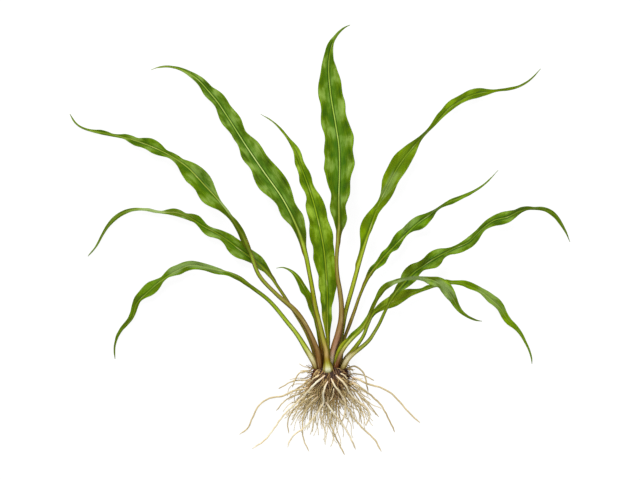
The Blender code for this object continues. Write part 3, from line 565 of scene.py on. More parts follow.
def leafMaterial(node, leaf):
    finish, amounts, deep = leafFinish, leafFinish["amounts"], leaf.get("deep", 0)
    tones = {name: shade(*tone) for name, tone in finish["tones"].items()}
    dark, middle, light = (shade(*tone) for tone in leaf["blade"])
    leftSide, rightSide = (shade(*tone) for tone in leaf["sides"])
    paint = Paint(node + "_skin", {"Specular IOR Level": finish["gloss"]})
    share, spread, along, stem, line, litBand = paint.read("share", "spread", "along", "stem", "line", "litBand")
    blade, grown, under, broad = paint.read("blade", "grown", "under", "broad")
    patch = dict(zip(("yellow", "olive", "pale"), paint.read("yellow", "olive", "pale")))
    crease = paint.read("crease")
    mix = paint.mix

    def zone(name, value):
        return paint.between(value, *finish["zones"][name])

    def strokes(name, x, y, layer, detail=2.0):  # noise drawn out along the leaf
        across, forward = finish[name]
        return paint.noise(paint.vector(x * across, y * forward, layer), 1.0, detail)

    outward = abs(share)
    cloud = paint.noise(paint.place(), finish["cloud"] / mm, 3.0)
    streak = strokes("streak", spread, along - abs(spread) * leafForm["slant"], 0.0)
    thread = strokes("thread", spread, along, 5.0)
    fibre = strokes("fibre", share, along, 3.0, 3.0)
    vein = zone("vein", paint.maths("PINGPONG", outward * finish["veins"] + streak * 0.35, 0.5))

    # The blade: three greens by the mottle, lightened on the waves' light bands by a painted highlight, then
    # its veins, its deeper base and inner part, its margin, its underside and painted shade beside the
    # midrib.
    shares = finish["mottle"]
    mottle = cloud * shares["cloud"] + streak * shares["streak"]
    mottle = mottle + thread * shares["thread"] + litBand * shares["litBand"]
    green = paint.ramp(zone("green", mottle), [(0.05, dark), (0.5, middle), (0.95, light)])
    green = mix(vein * amounts["vein"], green, light)
    green = mix(zone("base", line) * zone("baseAlong", grown) * deep, green, tones["base"])
    inner = amounts["inner"] + amounts["innerDeep"] * deep
    green = mix(zone("inner", outward) * broad * inner, green, tones["inner"])
    green = mix(zone("margin", outward) * amounts["margin"], green, tones["margin"])
    green = mix(under * amounts["under"], green, tones["under"])
    # painted shade: dark lines along each side of the midrib, where its channel lies in shade
    ribShade = amounts["ribShade"] + amounts["ribShadeDeep"] * min(1.0, deep * 1.6)
    lines = zone("ribShadeInner", line) * zone("ribShadeOuter", line) * broad
    green = mix(lines * ribShade, green, tones["ribShade"])

    # The stalk and midrib: tones along it with painted highlights, painted shade down its round sides, dark
    # fibres, and pale fibres between them that are partly a painted sheen along its middle.
    # the tones along the stalk include painted highlights, pale spots where its middle caught the light
    stalk = paint.ramp(stem, stops(leaf["stem"]))
    sides = mix(zone("rightSide", share), leftSide, rightSide)
    # painted shade: towards its edges the stalk takes its colour times the shaded rim share, blended with the
    # side tones
    shadedRim = mix(zone("sides", along) * amounts["sides"], paint.multiplied(stalk, finish["shadedRim"]), sides)
    edgeShade = zone("edgeShade", line + (fibre - 0.5) * 0.4) * (1 - grown)
    stalk = mix(edgeShade * amounts["edgeShade"] + zone("darkFibre", fibre) * amounts["darkFibre"], stalk, shadedRim)
    # pale fibres, kept to the stalk's middle away from its shaded edges, partly a painted sheen
    stalk = mix(zone("paleFibreAndSheen", fibre) * (1 - edgeShade) * amounts["paleFibreAndSheen"], stalk, tones["paleFibreAndSheen"])

    # Patches of other tones, broken up by the mottle: yellow, pale as a painted sheen, and olive partly as
    # painted shade; then the turned-over strip beyond a crease, with a painted highlight along its fold.
    skin = mix(blade * zone("blade", line), stalk, green)
    for name, amount in patch.items():
        skin = mix(amount * zone(name, mottle), skin, tones[name])
    skin = mix(zone("beyondCrease", crease) * zone("creaseMottle", mottle), skin, tones["beyondCrease"])
    # a painted highlight: a pale line along the fold, just before the crease
    fold = zone("creaseHighlight", abs(crease + finish["creaseHighlightAt"])) * amounts["creaseHighlight"]
    skin = mix(fold, skin, tones["creaseHighlight"])
    paint.feed("Base Color", skin)
    paint.feed("Roughness", finish["roughness"] + (cloud - 0.5) * 0.25 + vein * 0.06)
    paint.bump(vein * 0.5 + thread * 0.5 + cloud * 0.4, 0.5, finish["bumpDepth"])
    return paint.material


# Each leaf, from its base to its tip. Lengths along it are in mm.
# midrib: u, v, height and thickness. left, right: where that half of the blade starts, and its width every
# 4 mm from there, as the halves lie for someone who walks to the tip. leftBands, rightBands: where the light
# bands of each half's waves lie. sinks: where the stalk begins to sink into the blade, if not at its start.
# blade: dark, middle and light greens, the light one whitened by a painted sheen. deep: how much deeper green
# it is near its base and midrib, and how strong the painted shade beside the midrib is.
# stem: tones of stalk and midrib, each after its share of the length, with painted highlights in places.
# sides: tones of the stalk's left and right sides, their own colour darkened by painted shade. turns: where
# the blade stands on edge, the rise of its left margin, and the reach.
# yellow, pale, olive: patches, each from and to a length, from and to a distance across, and an amount; pale
# is a painted grey-green sheen, and olive a darker olive that is partly painted shade where the blade turns
# away.
# crease: the spots where it starts and ends, and the slope beyond it.
leaves = {}
leaves["leaf_far_left"] = {
    "midrib": (
        (320.8, 373, 9, 3), (320, 367, 10.5, 4.2), (319.2, 361, 11, 4.3), (318.2, 354.5, 11.5, 4),
        (315.2, 345, 12.1, 3.5), (312.5, 338.4, 12.5, 3.25), (296.2, 311.7, 13.5, 3.43),
        (276.3, 293.9, 13.5, 2.67), (259.8, 276.1, 13, 2.65), (248.9, 249.1, 12.5, 2.4),
        (239, 230, 11.5, 1.9), (223.1, 205.6, 10, 1.6), (205.6, 186.3, 8.5, 1.4), (186.4, 166.5, 7, 1.2),
        (168.4, 154.6, 6, 1), (149, 145.3, 4.8, 0.9), (124.1, 137.1, 3.2, 0.8), (100.2, 132.1, 2.2, 0.8),
        (78, 125, 1.2, 0.6), (68.7, 112.9, 0.8, 0.3),
    ),
    "left": (96, (
        1.2, 2.1, 2.2, 1.7, 1.5, 1.5, 2, 3, 4.3, 6.3, 7.8, 8.4, 7.8, 6.6, 6.6, 7.1, 6.6, 5.4, 3.4, 2.2, 1.9,
        2.8, 3.7, 3.9, 3.2, 3.1, 3.4, 2.6, 1.3, 1.2, 1.2, 1.2, 1.3, 1.2, 0.9, 0.7, 0.7, 0.9,
    )),
    "right": (96, (
        1.3, 2, 2.4, 2.7, 2.5, 2, 0.9, 0.9, 0.5, 0.8, 2.1, 3.7, 5.4, 6.5, 6.7, 6.3, 5.4, 4.1, 2.7, 2.8, 2.6,
        2.2, 3.7, 4.7, 4.8, 3.5, 2.1, 2.4, 2.3, 1.2, 0.7, 1.5, 1.7, 0.9, 0.5, 0.5, 0.3, 0,
    )),
    "waveHeight": 1.9,
    "leftBands": (113.9, 132.9, 152.9, 171.9, 190.6, 209.9),
    "rightBands": (119.9, 137.9, 157.4, 171.9, 185.9, 200.9),
    "blade": ((70, 104, 0), (99, 132, 0), (132, 160, 64)),
    "deep": 0.3,
    "stem": (
        (0, 100, 60, 25), (0.037, 145, 105, 55), (0.107, 160, 130, 80), (0.186, 150, 140, 60),
        (0.355, 145, 175, 45), (0.434, 125, 150, 35), (0.504, 160, 180, 70), (1, 110, 140, 15),
    ),
    "sides": ((105, 75, 15), (150, 115, 60)),
    "turns": ((108, -1.7, 12), (172, 2.6, 8)),
    "pale": ((121, 133, -0.2, 2.2, 0.8), (138, 160, 0.5, 8, 0.2)),
    "olive": ((92, 124, -4, 6, 0.7), (124, 132, -4, -0.6, 0.6), (167, 179, -4, 4, 0.2)),
}
leaves["leaf_left_middle"] = {
    "midrib": (
        (317, 367.6, 3.2, 2.6), (314, 353, 3.4, 2.4), (306.7, 333.8, 4.5, 2.2), (291.9, 308.4, 5.5, 2.1),
        (278.6, 287.8, 5.8, 2.1), (264.1, 268.5, 5.6, 1.6), (242, 251.3, 5.2, 1.4),
        (218.9, 234.4, 4.6, 1.2), (203.2, 226.1, 4, 1.1), (188.1, 216.7, 3.4, 1), (175.3, 212.4, 3, 1),
        (161.8, 212, 2.6, 0.9), (145.7, 209.2, 2.4, 0.9), (127.8, 210.2, 2.2, 0.9), (113.4, 219.3, 2, 0.9),
        (103.5, 231.8, 1.5, 0.8), (95.4, 246.8, 1, 0.6), (86.8, 257, 0.6, 0.3),
    ),
    "left": (68, (
        1.2, 1.7, 2.8, 2.7, 3.2, 4.1, 5.4, 5.8, 5.2, 3.5, 2.8, 3.5, 4.4, 3.9, 2.3, 1.4, 2, 2.3, 2.4, 2.2,
        1.4, 1, 1.3, 1.2, 1, 1.2, 1.5, 1.7, 1.5, 1.4, 1.2, 0.9, 0.9, 0.7, 0.5, 0.4, 0.3,
    )),
    "right": (64, (
        1.3, 1.6, 2.6, 3.8, 4.7, 4.7, 4.6, 4.5, 4.9, 4.6, 4.4, 3.7, 2.9, 2, 2, 3.3, 4.1, 3.1, 1.6, 2.3, 2.5,
        1.8, 0.7, 0.5, 0.8, 0.6, 0.7, 0.8, 1.1, 1.4, 1.5, 1.3, 1.1, 0.7, 0.7, 0.7, 0.5, 0.4,
    )),
    "waveHeight": 1.5,
    "leftBands": (76, 91.2, 112.5, 140.6),
    "rightBands": (64.7, 82.5, 98.3, 114.7, 137.8),
    "blade": ((86, 126, 0), (97, 126, 0), (132, 164, 69)),
    "deep": 0.3,
    "stem": (
        (0, 110, 75, 35), (0.1, 160, 145, 50), (0.209, 145, 145, 40), (0.349, 115, 145, 30),
        (0.598, 115, 140, 20), (0.698, 170, 185, 95), (0.798, 130, 155, 45), (0.997, 105, 135, 25),
    ),
    "sides": ((178, 182, 60), (95, 75, 10)),
    "turns": ((139, 1.8, 8), (158, 1.6, 8)),
    "pale": ((150, 166, -3, 3, 0.7),),
    "olive": ((128, 148, -4, 4, 0.5), (168, 206, -4, 4, 0.35)),
}
leaves["leaf_left_low"] = {
    "midrib": (
        (318.4, 374, 6, 2.6), (316.2, 368, 7.2, 3.8), (313.9, 362.4, 7.7, 3.9), (311.3, 357.5, 8, 3.9),
        (306.4, 349.4, 8.5, 3.7), (302, 342, 8.8, 3.3), (297.2, 334.6, 9.1, 3), (287.6, 322.5, 9.3, 2.85),
        (268.7, 300.3, 9, 2.62), (248.8, 285, 8.2, 2.5), (239.7, 277.7, 7.7, 2.2), (230.9, 273.1, 7.2, 1.2),
        (215.2, 269.7, 6.5, 1.1), (203.3, 266.8, 6, 1.1), (193.8, 265, 5.5, 1.1), (178.5, 269.9, 4.8, 1),
        (163.7, 278.9, 4.2, 1), (147.8, 291.9, 3.6, 1), (136.1, 304.1, 3.2, 1), (131.8, 318.3, 2.7, 0.9),
        (120.5, 330.4, 2, 0.8), (115.3, 341.9, 1.4, 0.7), (114.5, 360, 0.6, 0.3),
    ),
    "left": (76, (
        1.3, 1.9, 2.4, 2.4, 2.4, 2.7, 2.7, 2.4, 2.4, 2.9, 3.1, 3, 3.2, 2.1, 1, 1.5, 3, 3.8, 3.4, 2, 1.3,
        1.8, 1.5, 0.7, 0.7, 1.1, 1, 0.7, 0.6, 0.2, 0,
    )),
    "right": (92, (
        0.1, 1.4, 2, 2.3, 2.5, 2.6, 3.1, 3.5, 3.6, 3.9, 3.1, 2.2, 3.2, 4.6, 4.8, 4.2, 3.6, 2.6, 2.4, 2.7,
        2.2, 1.6, 1.2, 1.2, 0.7, 0.8, 0.7,
    )),
    "waveHeight": 1.4,
    "leftBands": (92.1, 110.1, 126.8, 148.9, 167.1),
    "rightBands": (99.1, 119.8, 146.1, 164.1),
    "blade": ((98, 125, 0), (94, 126, 4), (108, 146, 0)),
    "deep": 0.3,
    "stem": (
        (0, 120, 95, 30), (0.02, 165, 145, 50), (0.035, 215, 195, 130), (0.055, 242, 236, 184),
        (0.075, 232, 228, 150), (0.1, 196, 214, 78), (0.246, 158, 188, 40), (0.344, 110, 135, 10),
        (0.51, 135, 165, 50), (1, 100, 125, 5),
    ),
    "sides": ((100, 125, 0), (120, 130, 10)),
    "turns": ((89, 1.6, 7), (135, 2.6, 8)),
    "pale": ((94, 130, -1.5, 6, 0.45),),
    "olive": ((70, 86, -4, 4, 0.5), (156, 194, -6, 6, 0.35)),
}
leaves["leaf_top_left"] = {
    "midrib": (
        (328, 373.6, 13.2, 3.4), (327.9, 371.8, 14, 6), (327.9, 369.4, 14.6, 6.9), (327.7, 366, 15, 6.1),
        (327.3, 362, 15.2, 4.7), (326.7, 357.5, 15.4, 3.7), (326.3, 352.5, 15.6, 3.5),
        (323.5, 340, 16.2, 3.5), (316.4, 311.1, 17, 3.2), (310.4, 278, 17, 2.9), (303.1, 244.5, 16, 2.8),
        (297.8, 229.4, 15, 1.9), (282.6, 198.7, 13, 1.6), (264, 172.1, 11, 1.5), (245.4, 144.8, 9, 1.3),
        (229.6, 120.1, 7.3, 1.2), (216.6, 100.7, 6, 1.1), (208.3, 90.9, 5.3, 1), (198.1, 79.7, 4.5, 0.9),
        (189, 73.1, 3.9, 0.9), (180, 69, 3.4, 0.8), (169.6, 66.5, 2.7, 0.8), (157, 67.2, 1.7, 0.6),
        (150, 69.8, 0.8, 0.3),
    ),
    "left": (80, (
        1.7, 1.9, 2, 2.3, 2.7, 3.4, 4.9, 6, 5.9, 5.3, 5.8, 6.9, 8.1, 8.8, 8.6, 7.7, 6.3, 6.1, 6.7, 6.5, 5,
        4.2, 4.4, 4.2, 4.8, 5.4, 5.2, 4.2, 3.2, 3.2, 3.7, 3.7, 2.9, 2.3, 2, 1.7, 1.1, 0.7, 0.6, 0.5, 0.6, 0,
    )),
    "right": (84, (
        1.5, 3, 4.5, 5.4, 6.4, 6.8, 6, 5.8, 6.8, 7.9, 8.9, 9.4, 9.4, 9.1, 8.6, 8, 7.7, 8, 8, 7.4, 6, 5, 5.7,
        6.7, 6.7, 6.1, 5.6, 5.9, 5.8, 4.9, 3.7, 3.4, 3, 2.4, 1.7, 1.4, 1.2, 0.8, 0.7, 0.4, 0,
    )),
    "waveHeight": 2.4,
    "leftBands": (103.3, 125.5, 143.7, 159.7, 176.2, 198),
    "rightBands": (96.8, 113.8, 131, 151.7, 177.9, 198, 212.8),
    "blade": ((66, 93, 0), (95, 127, 26), (137, 165, 72)),
    "deep": 0.7,
    # the palest tone near the base is a painted highlight on the bulb
    "stem": (
        (0, 140, 125, 40), (0.006, 185, 180, 105), (0.015, 236, 238, 204), (0.023, 208, 206, 120),
        (0.029, 168, 168, 50), (0.038, 165, 142, 45), (0.053, 205, 175, 110), (0.073, 195, 172, 90),
        (0.097, 175, 172, 62), (0.206, 155, 160, 25), (0.285, 165, 190, 45), (0.355, 160, 185, 50),
        (0.504, 200, 224, 118), (0.603, 198, 220, 130), (0.702, 154, 187, 76), (1, 135, 160, 40),
    ),
    "sides": ((115, 95, 20), (105, 115, 5)),
    "olive": ((88, 106, -8, 8, 0.35),),
}
leaves["leaf_centre"] = {
    "midrib": (
        (329.5, 367.6, 3.8, 2.6), (328.5, 350.5, 4.4, 2.2), (327.8, 335, 5.4, 1.5), (327.2, 315, 6.4, 1.15),
        (327.3, 297, 7, 1.3), (326.1, 273, 7.2, 1.2), (323.8, 249.1, 7, 1.2), (320.3, 230.1, 6.6, 1.1),
        (312.9, 200.4, 5.8, 1), (302.4, 170.4, 5, 0.9), (295.6, 152.5, 4.2, 0.8), (288, 138.2, 3.4, 0.9),
        (274.2, 122.8, 2.2, 0.6), (260, 113.4, 0.9, 0.3),
    ),
    "left": (16, (
        0.9, 1.2, 1.9, 2.5, 3.3, 3.6, 3.8, 4.6, 4.5, 5.4, 5.4, 5.1, 6.1, 7, 7.6, 7, 6.8, 7.6, 7.6, 6.9, 5.9,
        5.9, 6, 5.5, 3.7, 3.4, 4.2, 4.4, 3.3, 3, 3.2, 2.1, 1.1, 1, 0.9, 0.8, 0.7, 0.4, 0.2, 0.1, 0,
    )),
    "right": (16, (
        1.1, 1.3, 1.8, 2.5, 3.2, 3, 3.1, 4.2, 5.1, 6.3, 6.5, 6.4, 6.3, 6.3, 6.4, 6.7, 6.7, 7.5, 7.5, 6.8,
        6.3, 6.7, 6.7, 6.3, 5.3, 4, 3.5, 4.1, 4.1, 3.3, 2.8, 3.2, 3.2, 2.3, 1.1, 0.7, 0.7, 0.6, 0.5, 0.5, 0,
    )),
    "waveHeight": 2,
    "leftBands": (26, 50, 88, 100, 117, 130),
    "rightBands": (35, 63, 86.3, 112, 143),
    "blade": ((84, 114, 0), (112, 143, 0), (154, 184, 55)),
    "deep": 0.4,
    "stem": (
        (0.06, 160, 160, 45), (0.1, 190, 195, 50), (0.2, 130, 145, 20), (0.3, 130, 160, 20),
        (0.35, 150, 170, 40), (0.6, 150, 180, 35), (0.7, 120, 150, 15), (1, 120, 145, 10),
    ),
    "sides": ((95, 110, 0), (95, 110, 0)),
    "yellow": ((8, 20, -5, 5, 0.6), (20, 38, -5, -0.9, 0.6)),
}
leaves["leaf_top"] = {
    "midrib": (
        (331.6, 371, 7.4, 1.8), (331.9, 366, 8, 2.2), (332, 362.5, 8.4, 3), (332.2, 358.5, 8.7, 3.9),
        (332.8, 353.5, 9.2, 4.3), (333.9, 348.5, 9.6, 4.5), (338.2, 335, 11, 4.72), (341, 319.1, 12.3, 3.6),
        (341.4, 305.1, 13.2, 3.38), (340, 292.1, 13.8, 3.16), (337.4, 275.1, 14.2, 2.7),
        (336.5, 261, 14.4, 2.6), (337.5, 245, 14.4, 2.62), (338.8, 228, 14.2, 1.9),
        (338.7, 197.7, 13.2, 1.6), (339.5, 164.7, 11.8, 1.5), (338.7, 145.1, 10.5, 1.4),
        (335.8, 125.5, 9, 1.3), (330.4, 92.1, 6.3, 1.2), (328.7, 66, 4.6, 1.1), (330.1, 51.9, 3.8, 1),
        (333.5, 41.3, 3, 0.9), (338.3, 32.8, 2.2, 1.1), (346.1, 26.3, 1.3, 0.7), (351, 24.1, 0.8, 0.3),
    ),
    "left": (88, (
        1.1, 1.6, 2.8, 3.9, 5.4, 5.9, 5.2, 5.1, 6.7, 8.1, 9.1, 10.2, 9.9, 9.5, 9.9, 9.4, 8.5, 8.3, 9, 9.3,
        8.7, 7.7, 7.5, 8, 8, 7.4, 6.2, 5.2, 4.7, 4, 3.4, 3.2, 2.5, 1.3, 0.7, 0.4,
    )),
    "right": (84, (
        1.5, 1.7, 2.5, 4.3, 5.3, 4.8, 4.5, 5.9, 7.2, 7.4, 7.2, 7.7, 9.1, 10, 9.4, 8.9, 9.8, 10.4, 9.8, 8.9,
        8, 7.8, 8.4, 8.5, 7.9, 7.7, 7.7, 7.1, 6, 4.8, 3.2, 2.3, 1.3, 0.5, 0.6, 0.6, 0.3,
    )),
    "waveHeight": 2.4,
    "leftBands": (102.1, 130.3, 154.7, 176.3, 198.3),
    "rightBands": (95.7, 110.7, 127.3, 145.1, 166.8, 190.5),
    "blade": ((63, 100, 0), (93, 124, 0), (136, 166, 68)),
    "deep": 0.7,
    # the palest tones near the base are a painted highlight
    "stem": (
        (0, 120, 85, 40), (0.013, 190, 170, 110), (0.026, 246, 230, 196), (0.039, 236, 208, 172),
        (0.06, 202, 158, 126), (0.095, 172, 126, 94), (0.138, 165, 135, 80), (0.406, 148, 162, 52),
        (0.505, 176, 203, 92), (0.802, 158, 191, 70), (0.901, 105, 135, 10),
    ),
    "sides": ((145, 108, 45), (115, 80, 20)),
    "olive": ((94, 116, -7, 7, 0.35),),
}
leaves["leaf_top_right"] = {
    "midrib": (
        (336.3, 367.6, 4, 3), (337.7, 352, 5, 3), (341.4, 335.5, 6.2, 3), (345.2, 314, 6.8, 2.9),
        (352.7, 286.4, 8, 3.03), (361.8, 253.9, 9, 2.6), (368.1, 234.6, 9.2, 1.9), (375.6, 212.5, 9, 1.6),
        (380.9, 198.8, 8.7, 1.4), (387.2, 187.1, 8.4, 1.3), (399.2, 164.9, 7.8, 1.3),
        (410.7, 149.8, 7.2, 1.2), (424.6, 134.9, 6.4, 1.1), (434.4, 124.9, 5.8, 1.1), (447, 110.6, 5, 1.1),
        (461.8, 100.1, 4.4, 1), (476.1, 93.8, 3.8, 0.9), (489, 91.7, 3.3, 0.9), (506.6, 89.4, 2.6, 0.9),
        (520.6, 85.5, 1.9, 0.8), (533, 77, 1.3, 0.6), (541.7, 67.7, 0.7, 0.3),
    ),
    "left": (68, (
        2, 2, 2, 2.5, 3.7, 5.4, 6.5, 6.5, 5.6, 4.1, 2.4, 1.3, 1.6, 3.1, 4.8, 5.6, 5.7, 5.9, 6.2, 5.9, 5,
        4.1, 3, 2.1, 1.6, 1.5, 2, 2.7, 3.1, 3, 3.7, 4, 3.6, 3.6, 3.9, 3.7, 3.1, 2, 1.2, 1.2, 1.1, 1, 0.7,
        0.6, 0.3, 0.3, 0.2,
    )),
    "right": (92, (
        1.2, 1.5, 1.9, 2.1, 3.2, 4.6, 5.4, 5.6, 5.3, 5, 5.4, 5.9, 5.9, 5.5, 4.8, 3.9, 2.5, 1.1, 0.4, 0.2,
        0.4, 0.6, 1.1, 1.6, 1.8, 1.8, 1.8, 2, 2.4, 2.8, 2.4, 1.7, 0.7, 0.2, 0.7, 0.8, 0.7, 0.7, 0.7, 0.5,
        0.2,
    )),
    "waveHeight": 1.7,
    "leftBands": (86, 104, 124, 146, 167, 190, 204),
    "rightBands": (100.6, 129.7, 152, 180, 198.7),
    "blade": ((102, 135, 0), (106, 131, 0), (124, 156, 5)),
    "deep": 0.2,
    "stem": (
        (0, 125, 85, 40), (0.06, 150, 135, 40), (0.18, 180, 190, 45), (0.28, 185, 205, 60),
        (0.4, 125, 150, 25), (0.7, 115, 145, 25), (0.8, 120, 150, 10), (1, 110, 140, 15),
    ),
    "sides": ((115, 122, 0), (105, 118, 0)),
    "turns": ((165, 1.8, 8),),
    "pale": ((115, 134, -2, 3, 0.3),),
    "olive": ((222, 250, -3, 3, 0.3),),
    "crease": ((106, -0.6), (127, 4.9), 0.25),
}
leaves["leaf_right_middle"] = {
    "midrib": (
        (341, 367.6, 3.8, 2.2), (342, 352, 3.8, 2.1), (344.5, 338.8, 4, 2.1), (349.4, 325.2, 4.4, 2.45),
        (354.9, 310, 5, 2.21), (359.5, 296.5, 5.5, 2.03), (365.3, 283.1, 6, 2.04), (376, 266.4, 6.5, 1.3),
        (387.6, 253.1, 6.6, 1.2), (402.2, 238, 6.2, 1.2), (416.9, 224, 5.6, 1.1), (429.6, 214.7, 5, 1),
        (438.9, 207.6, 4.5, 0.9), (450.8, 201.5, 3.8, 0.9), (464.7, 195.6, 3, 0.9),
        (475.2, 190.5, 2.4, 0.8), (485.7, 183.3, 1.7, 0.6), (499, 169.6, 0.7, 0.3),
    ),
    "left": (56, (
        1, 1.5, 2.4, 2.8, 2, 2.5, 3.3, 2.8, 3.4, 4.6, 5, 4.4, 4.5, 4.5, 4, 2.7, 1.6, 0.6, 0.6, 1.1, 1.5,
        1.3, 1.1, 0.9, 0.7, 0.6, 0.5, 0.5, 0.2,
    )),
    "right": (64, (
        1, 1.2, 2.6, 3.4, 2.4, 1.7, 3.1, 2.5, 1.4, 1.1, 2.2, 4.3, 4.8, 4, 3, 1.5, 1.1, 1.5, 2, 1.7, 1.3,
        1.2, 0.8, 0.7, 0.5, 0.4, 0.2,
    )),
    "waveHeight": 1.4,
    "leftBands": (71, 82, 95, 107, 120),
    "rightBands": (70, 83, 97, 112),
    "blade": ((75, 108, 0), (103, 138, 0), (117, 159, 0)),
    "deep": 0.4,
    "stem": (
        (0, 120, 85, 45), (0.06, 150, 125, 70), (0.1, 140, 125, 50), (0.18, 165, 145, 65),
        (0.32, 140, 150, 30), (0.599, 125, 165, 35), (0.699, 130, 160, 60), (0.799, 125, 155, 30),
        (0.999, 115, 145, 25),
    ),
    "sides": ((125, 92, 30), (115, 88, 20)),
    "turns": ((124, 2.4, 7),),
    "pale": ((98, 112, -6, -1, 0.3),),
}
leaves["leaf_right_long"] = {
    "midrib": (
        (339.8, 372.5, 7.4, 3.2), (342, 368.4, 8.1, 4.2), (344.2, 364, 8.5, 4.4), (346.4, 359.9, 8.8, 4.4),
        (349.1, 356.5, 9.1, 4.2), (352.4, 354, 9.4, 3.4), (355.9, 351.5, 9.6, 2.9),
        (359.4, 348.8, 9.8, 2.8), (363.1, 345.8, 10.2, 2.7), (367, 342.3, 10.4, 2.6),
        (370.4, 338.4, 10.6, 2.5), (373.2, 334, 10.8, 2.3), (378.6, 324.9, 11, 2.21),
        (385.3, 310.6, 11.4, 2), (390.6, 300.8, 11.6, 1.5), (396.2, 292.2, 11.6, 1.25),
        (404.2, 282.8, 11.4, 1.2), (411.1, 275, 11.2, 1.4), (424.3, 264.9, 10.6, 1.3),
        (437.6, 256.7, 10, 1.2), (452.7, 248.9, 9, 1.2), (468.4, 241.8, 8, 1.2), (481.5, 229.3, 7.1, 1.2),
        (493.7, 220.5, 6.3, 1.2), (507.9, 216.8, 5.6, 1.1), (520, 211, 4.9, 1), (533.3, 208.8, 4.3, 0.9),
        (542.8, 208.9, 3.8, 0.9), (556.1, 215.2, 2.8, 0.9), (565.5, 230.4, 1.6, 0.8),
        (570.8, 242.6, 0.7, 0.3),
    ),
    "left": (56, (
        0.8, 2.3, 1.8, 2.8, 3.4, 5, 5.7, 5.4, 4.1, 4, 5, 5.1, 4.2, 2.4, 1.5, 1.7, 2.4, 2.7, 2.4, 2, 2.4,
        2.8, 2.9, 3.6, 4.1, 3.4, 2.1, 2.3, 2, 1.2, 1.3, 1.4, 1.3, 0.7, 0.5, 0.6, 0.6, 0.3,
    )),
    "right": (60, (
        0.7, 1.3, 2.4, 3.6, 4.5, 4.8, 3.4, 2.8, 4.3, 5.7, 5.2, 3, 2.7, 3.9, 4.4, 4.2, 4.1, 3.7, 2.8, 2.1,
        2.8, 3.7, 4.2, 3.9, 3.2, 2.4, 1.3, 0.4, 0.7, 1.1, 1.3, 1.8, 2, 1.8, 1.1, 0.5, 0.2,
    )),
    "waveHeight": 1.6,
    "leftBands": (60.5, 72.5, 84.1, 99.5, 122.5, 147.3),
    "rightBands": (67.5, 78.5, 90.5, 112.5, 134.3, 153.8),
    "blade": ((75, 108, 0), (105, 136, 15), (131, 164, 58)),
    "deep": 0.8,
    # the palest tones near the base are a painted highlight on the sheath
    "stem": (
        (0, 110, 85, 25), (0.014, 150, 128, 55), (0.024, 190, 172, 105), (0.039, 240, 226, 176),
        (0.053, 252, 242, 196), (0.072, 240, 228, 150), (0.087, 200, 198, 95), (0.111, 178, 190, 72),
        (0.229, 135, 160, 25), (0.407, 105, 135, 20), (0.506, 120, 150, 30), (0.605, 105, 135, 10),
        (0.703, 125, 155, 40), (1, 110, 140, 25),
    ),
    "sides": ((95, 115, 0), (105, 125, 5)),
    "turns": ((172, 1.6, 7),),
    "olive": ((58, 94, -7, -0.6, 0.6), (156, 208, -4, 4, 0.3)),
}
leaves["leaf_front_arching"] = {
    "midrib": (
        (333.8, 373, 10, 2.6), (335.6, 367, 11.5, 3.6), (337.8, 360, 12.4, 3.6), (340.8, 353, 13.4, 3.2),
        (345, 346.2, 15, 2.9), (352.1, 338.1, 17.3, 2.6), (361.8, 328.5, 20, 2.4), (368.6, 316.9, 22, 2.2),
        (373.3, 306.1, 23.6, 1.9), (378.2, 297, 24.8, 1.5), (384.8, 287.9, 25.6, 1.2),
        (395.3, 281, 26.2, 1.1), (406.9, 277.8, 26, 1.1), (420, 277.7, 25, 1.2), (434, 280.7, 23, 1.2),
        (445, 287.8, 20, 1.2), (453, 299, 15.5, 1.1), (460.5, 311, 9.5, 1), (469, 317.2, 6, 0.9),
        (475.6, 320.2, 3.6, 0.8), (482.9, 321.5, 1, 0.3),
    ),
    "left": (8, (
        1.8, 2.8, 3.1, 3.1, 2.7, 3, 2.8, 2.4, 2, 1.5, 1.4, 1.6, 1.7, 2.4, 2.7, 2.4, 1.5, 1, 0.5, 0.7, 0.9,
        1.2, 1.9, 3.4, 4.1, 4.1, 3.5, 2.6, 1.9, 1.6, 1.1, 0.7, 0.7, 0.2,
    )),
    "right": (60, (
        0.9, 1.1, 1.5, 1.5, 1.6, 1.4, 1.5, 1.5, 2, 3.4, 3.1, 2.8, 3.7, 3.7, 2.8, 2.4, 1.6, 1.1, 0.8, 0.5,
        0.2,
    )),
    "waveHeight": 1.2,
    "leftBands": (15.6, 33.6, 63.6, 85.6, 107.3, 125.6),
    "rightBands": (75.6, 97.6, 109.6, 122.6),
    "sinks": 52,
    "blade": ((107, 130, 0), (115, 157, 0), (161, 195, 55)),
    "stem": (
        (0, 60, 32, 12), (0.021, 112, 56, 26), (0.056, 132, 86, 50), (0.084, 165, 130, 90),
        (0.113, 192, 178, 110), (0.134, 218, 216, 112), (0.169, 208, 222, 108), (0.211, 165, 188, 55),
        (0.318, 135, 145, 30), (0.707, 140, 175, 50), (1, 110, 135, 25),
    ),
    "sides": ((100, 110, 0), (130, 125, 35)),
    "turns": ((84, 1.2, 8),),
    "yellow": ((7, 24, -4, -1.3, 0.9),),
    "pale": ((70, 96, -3, 3, 0.8), (98, 116, -2.6, 4, 0.6)),
    "olive": (
        (8, 24, -1.7, -0.7, 0.8), (24, 38, -4, -1.2, 0.5), (46, 70, -4, 4, 0.8), (122, 138, -4, 4, 0.25),
    ),
}
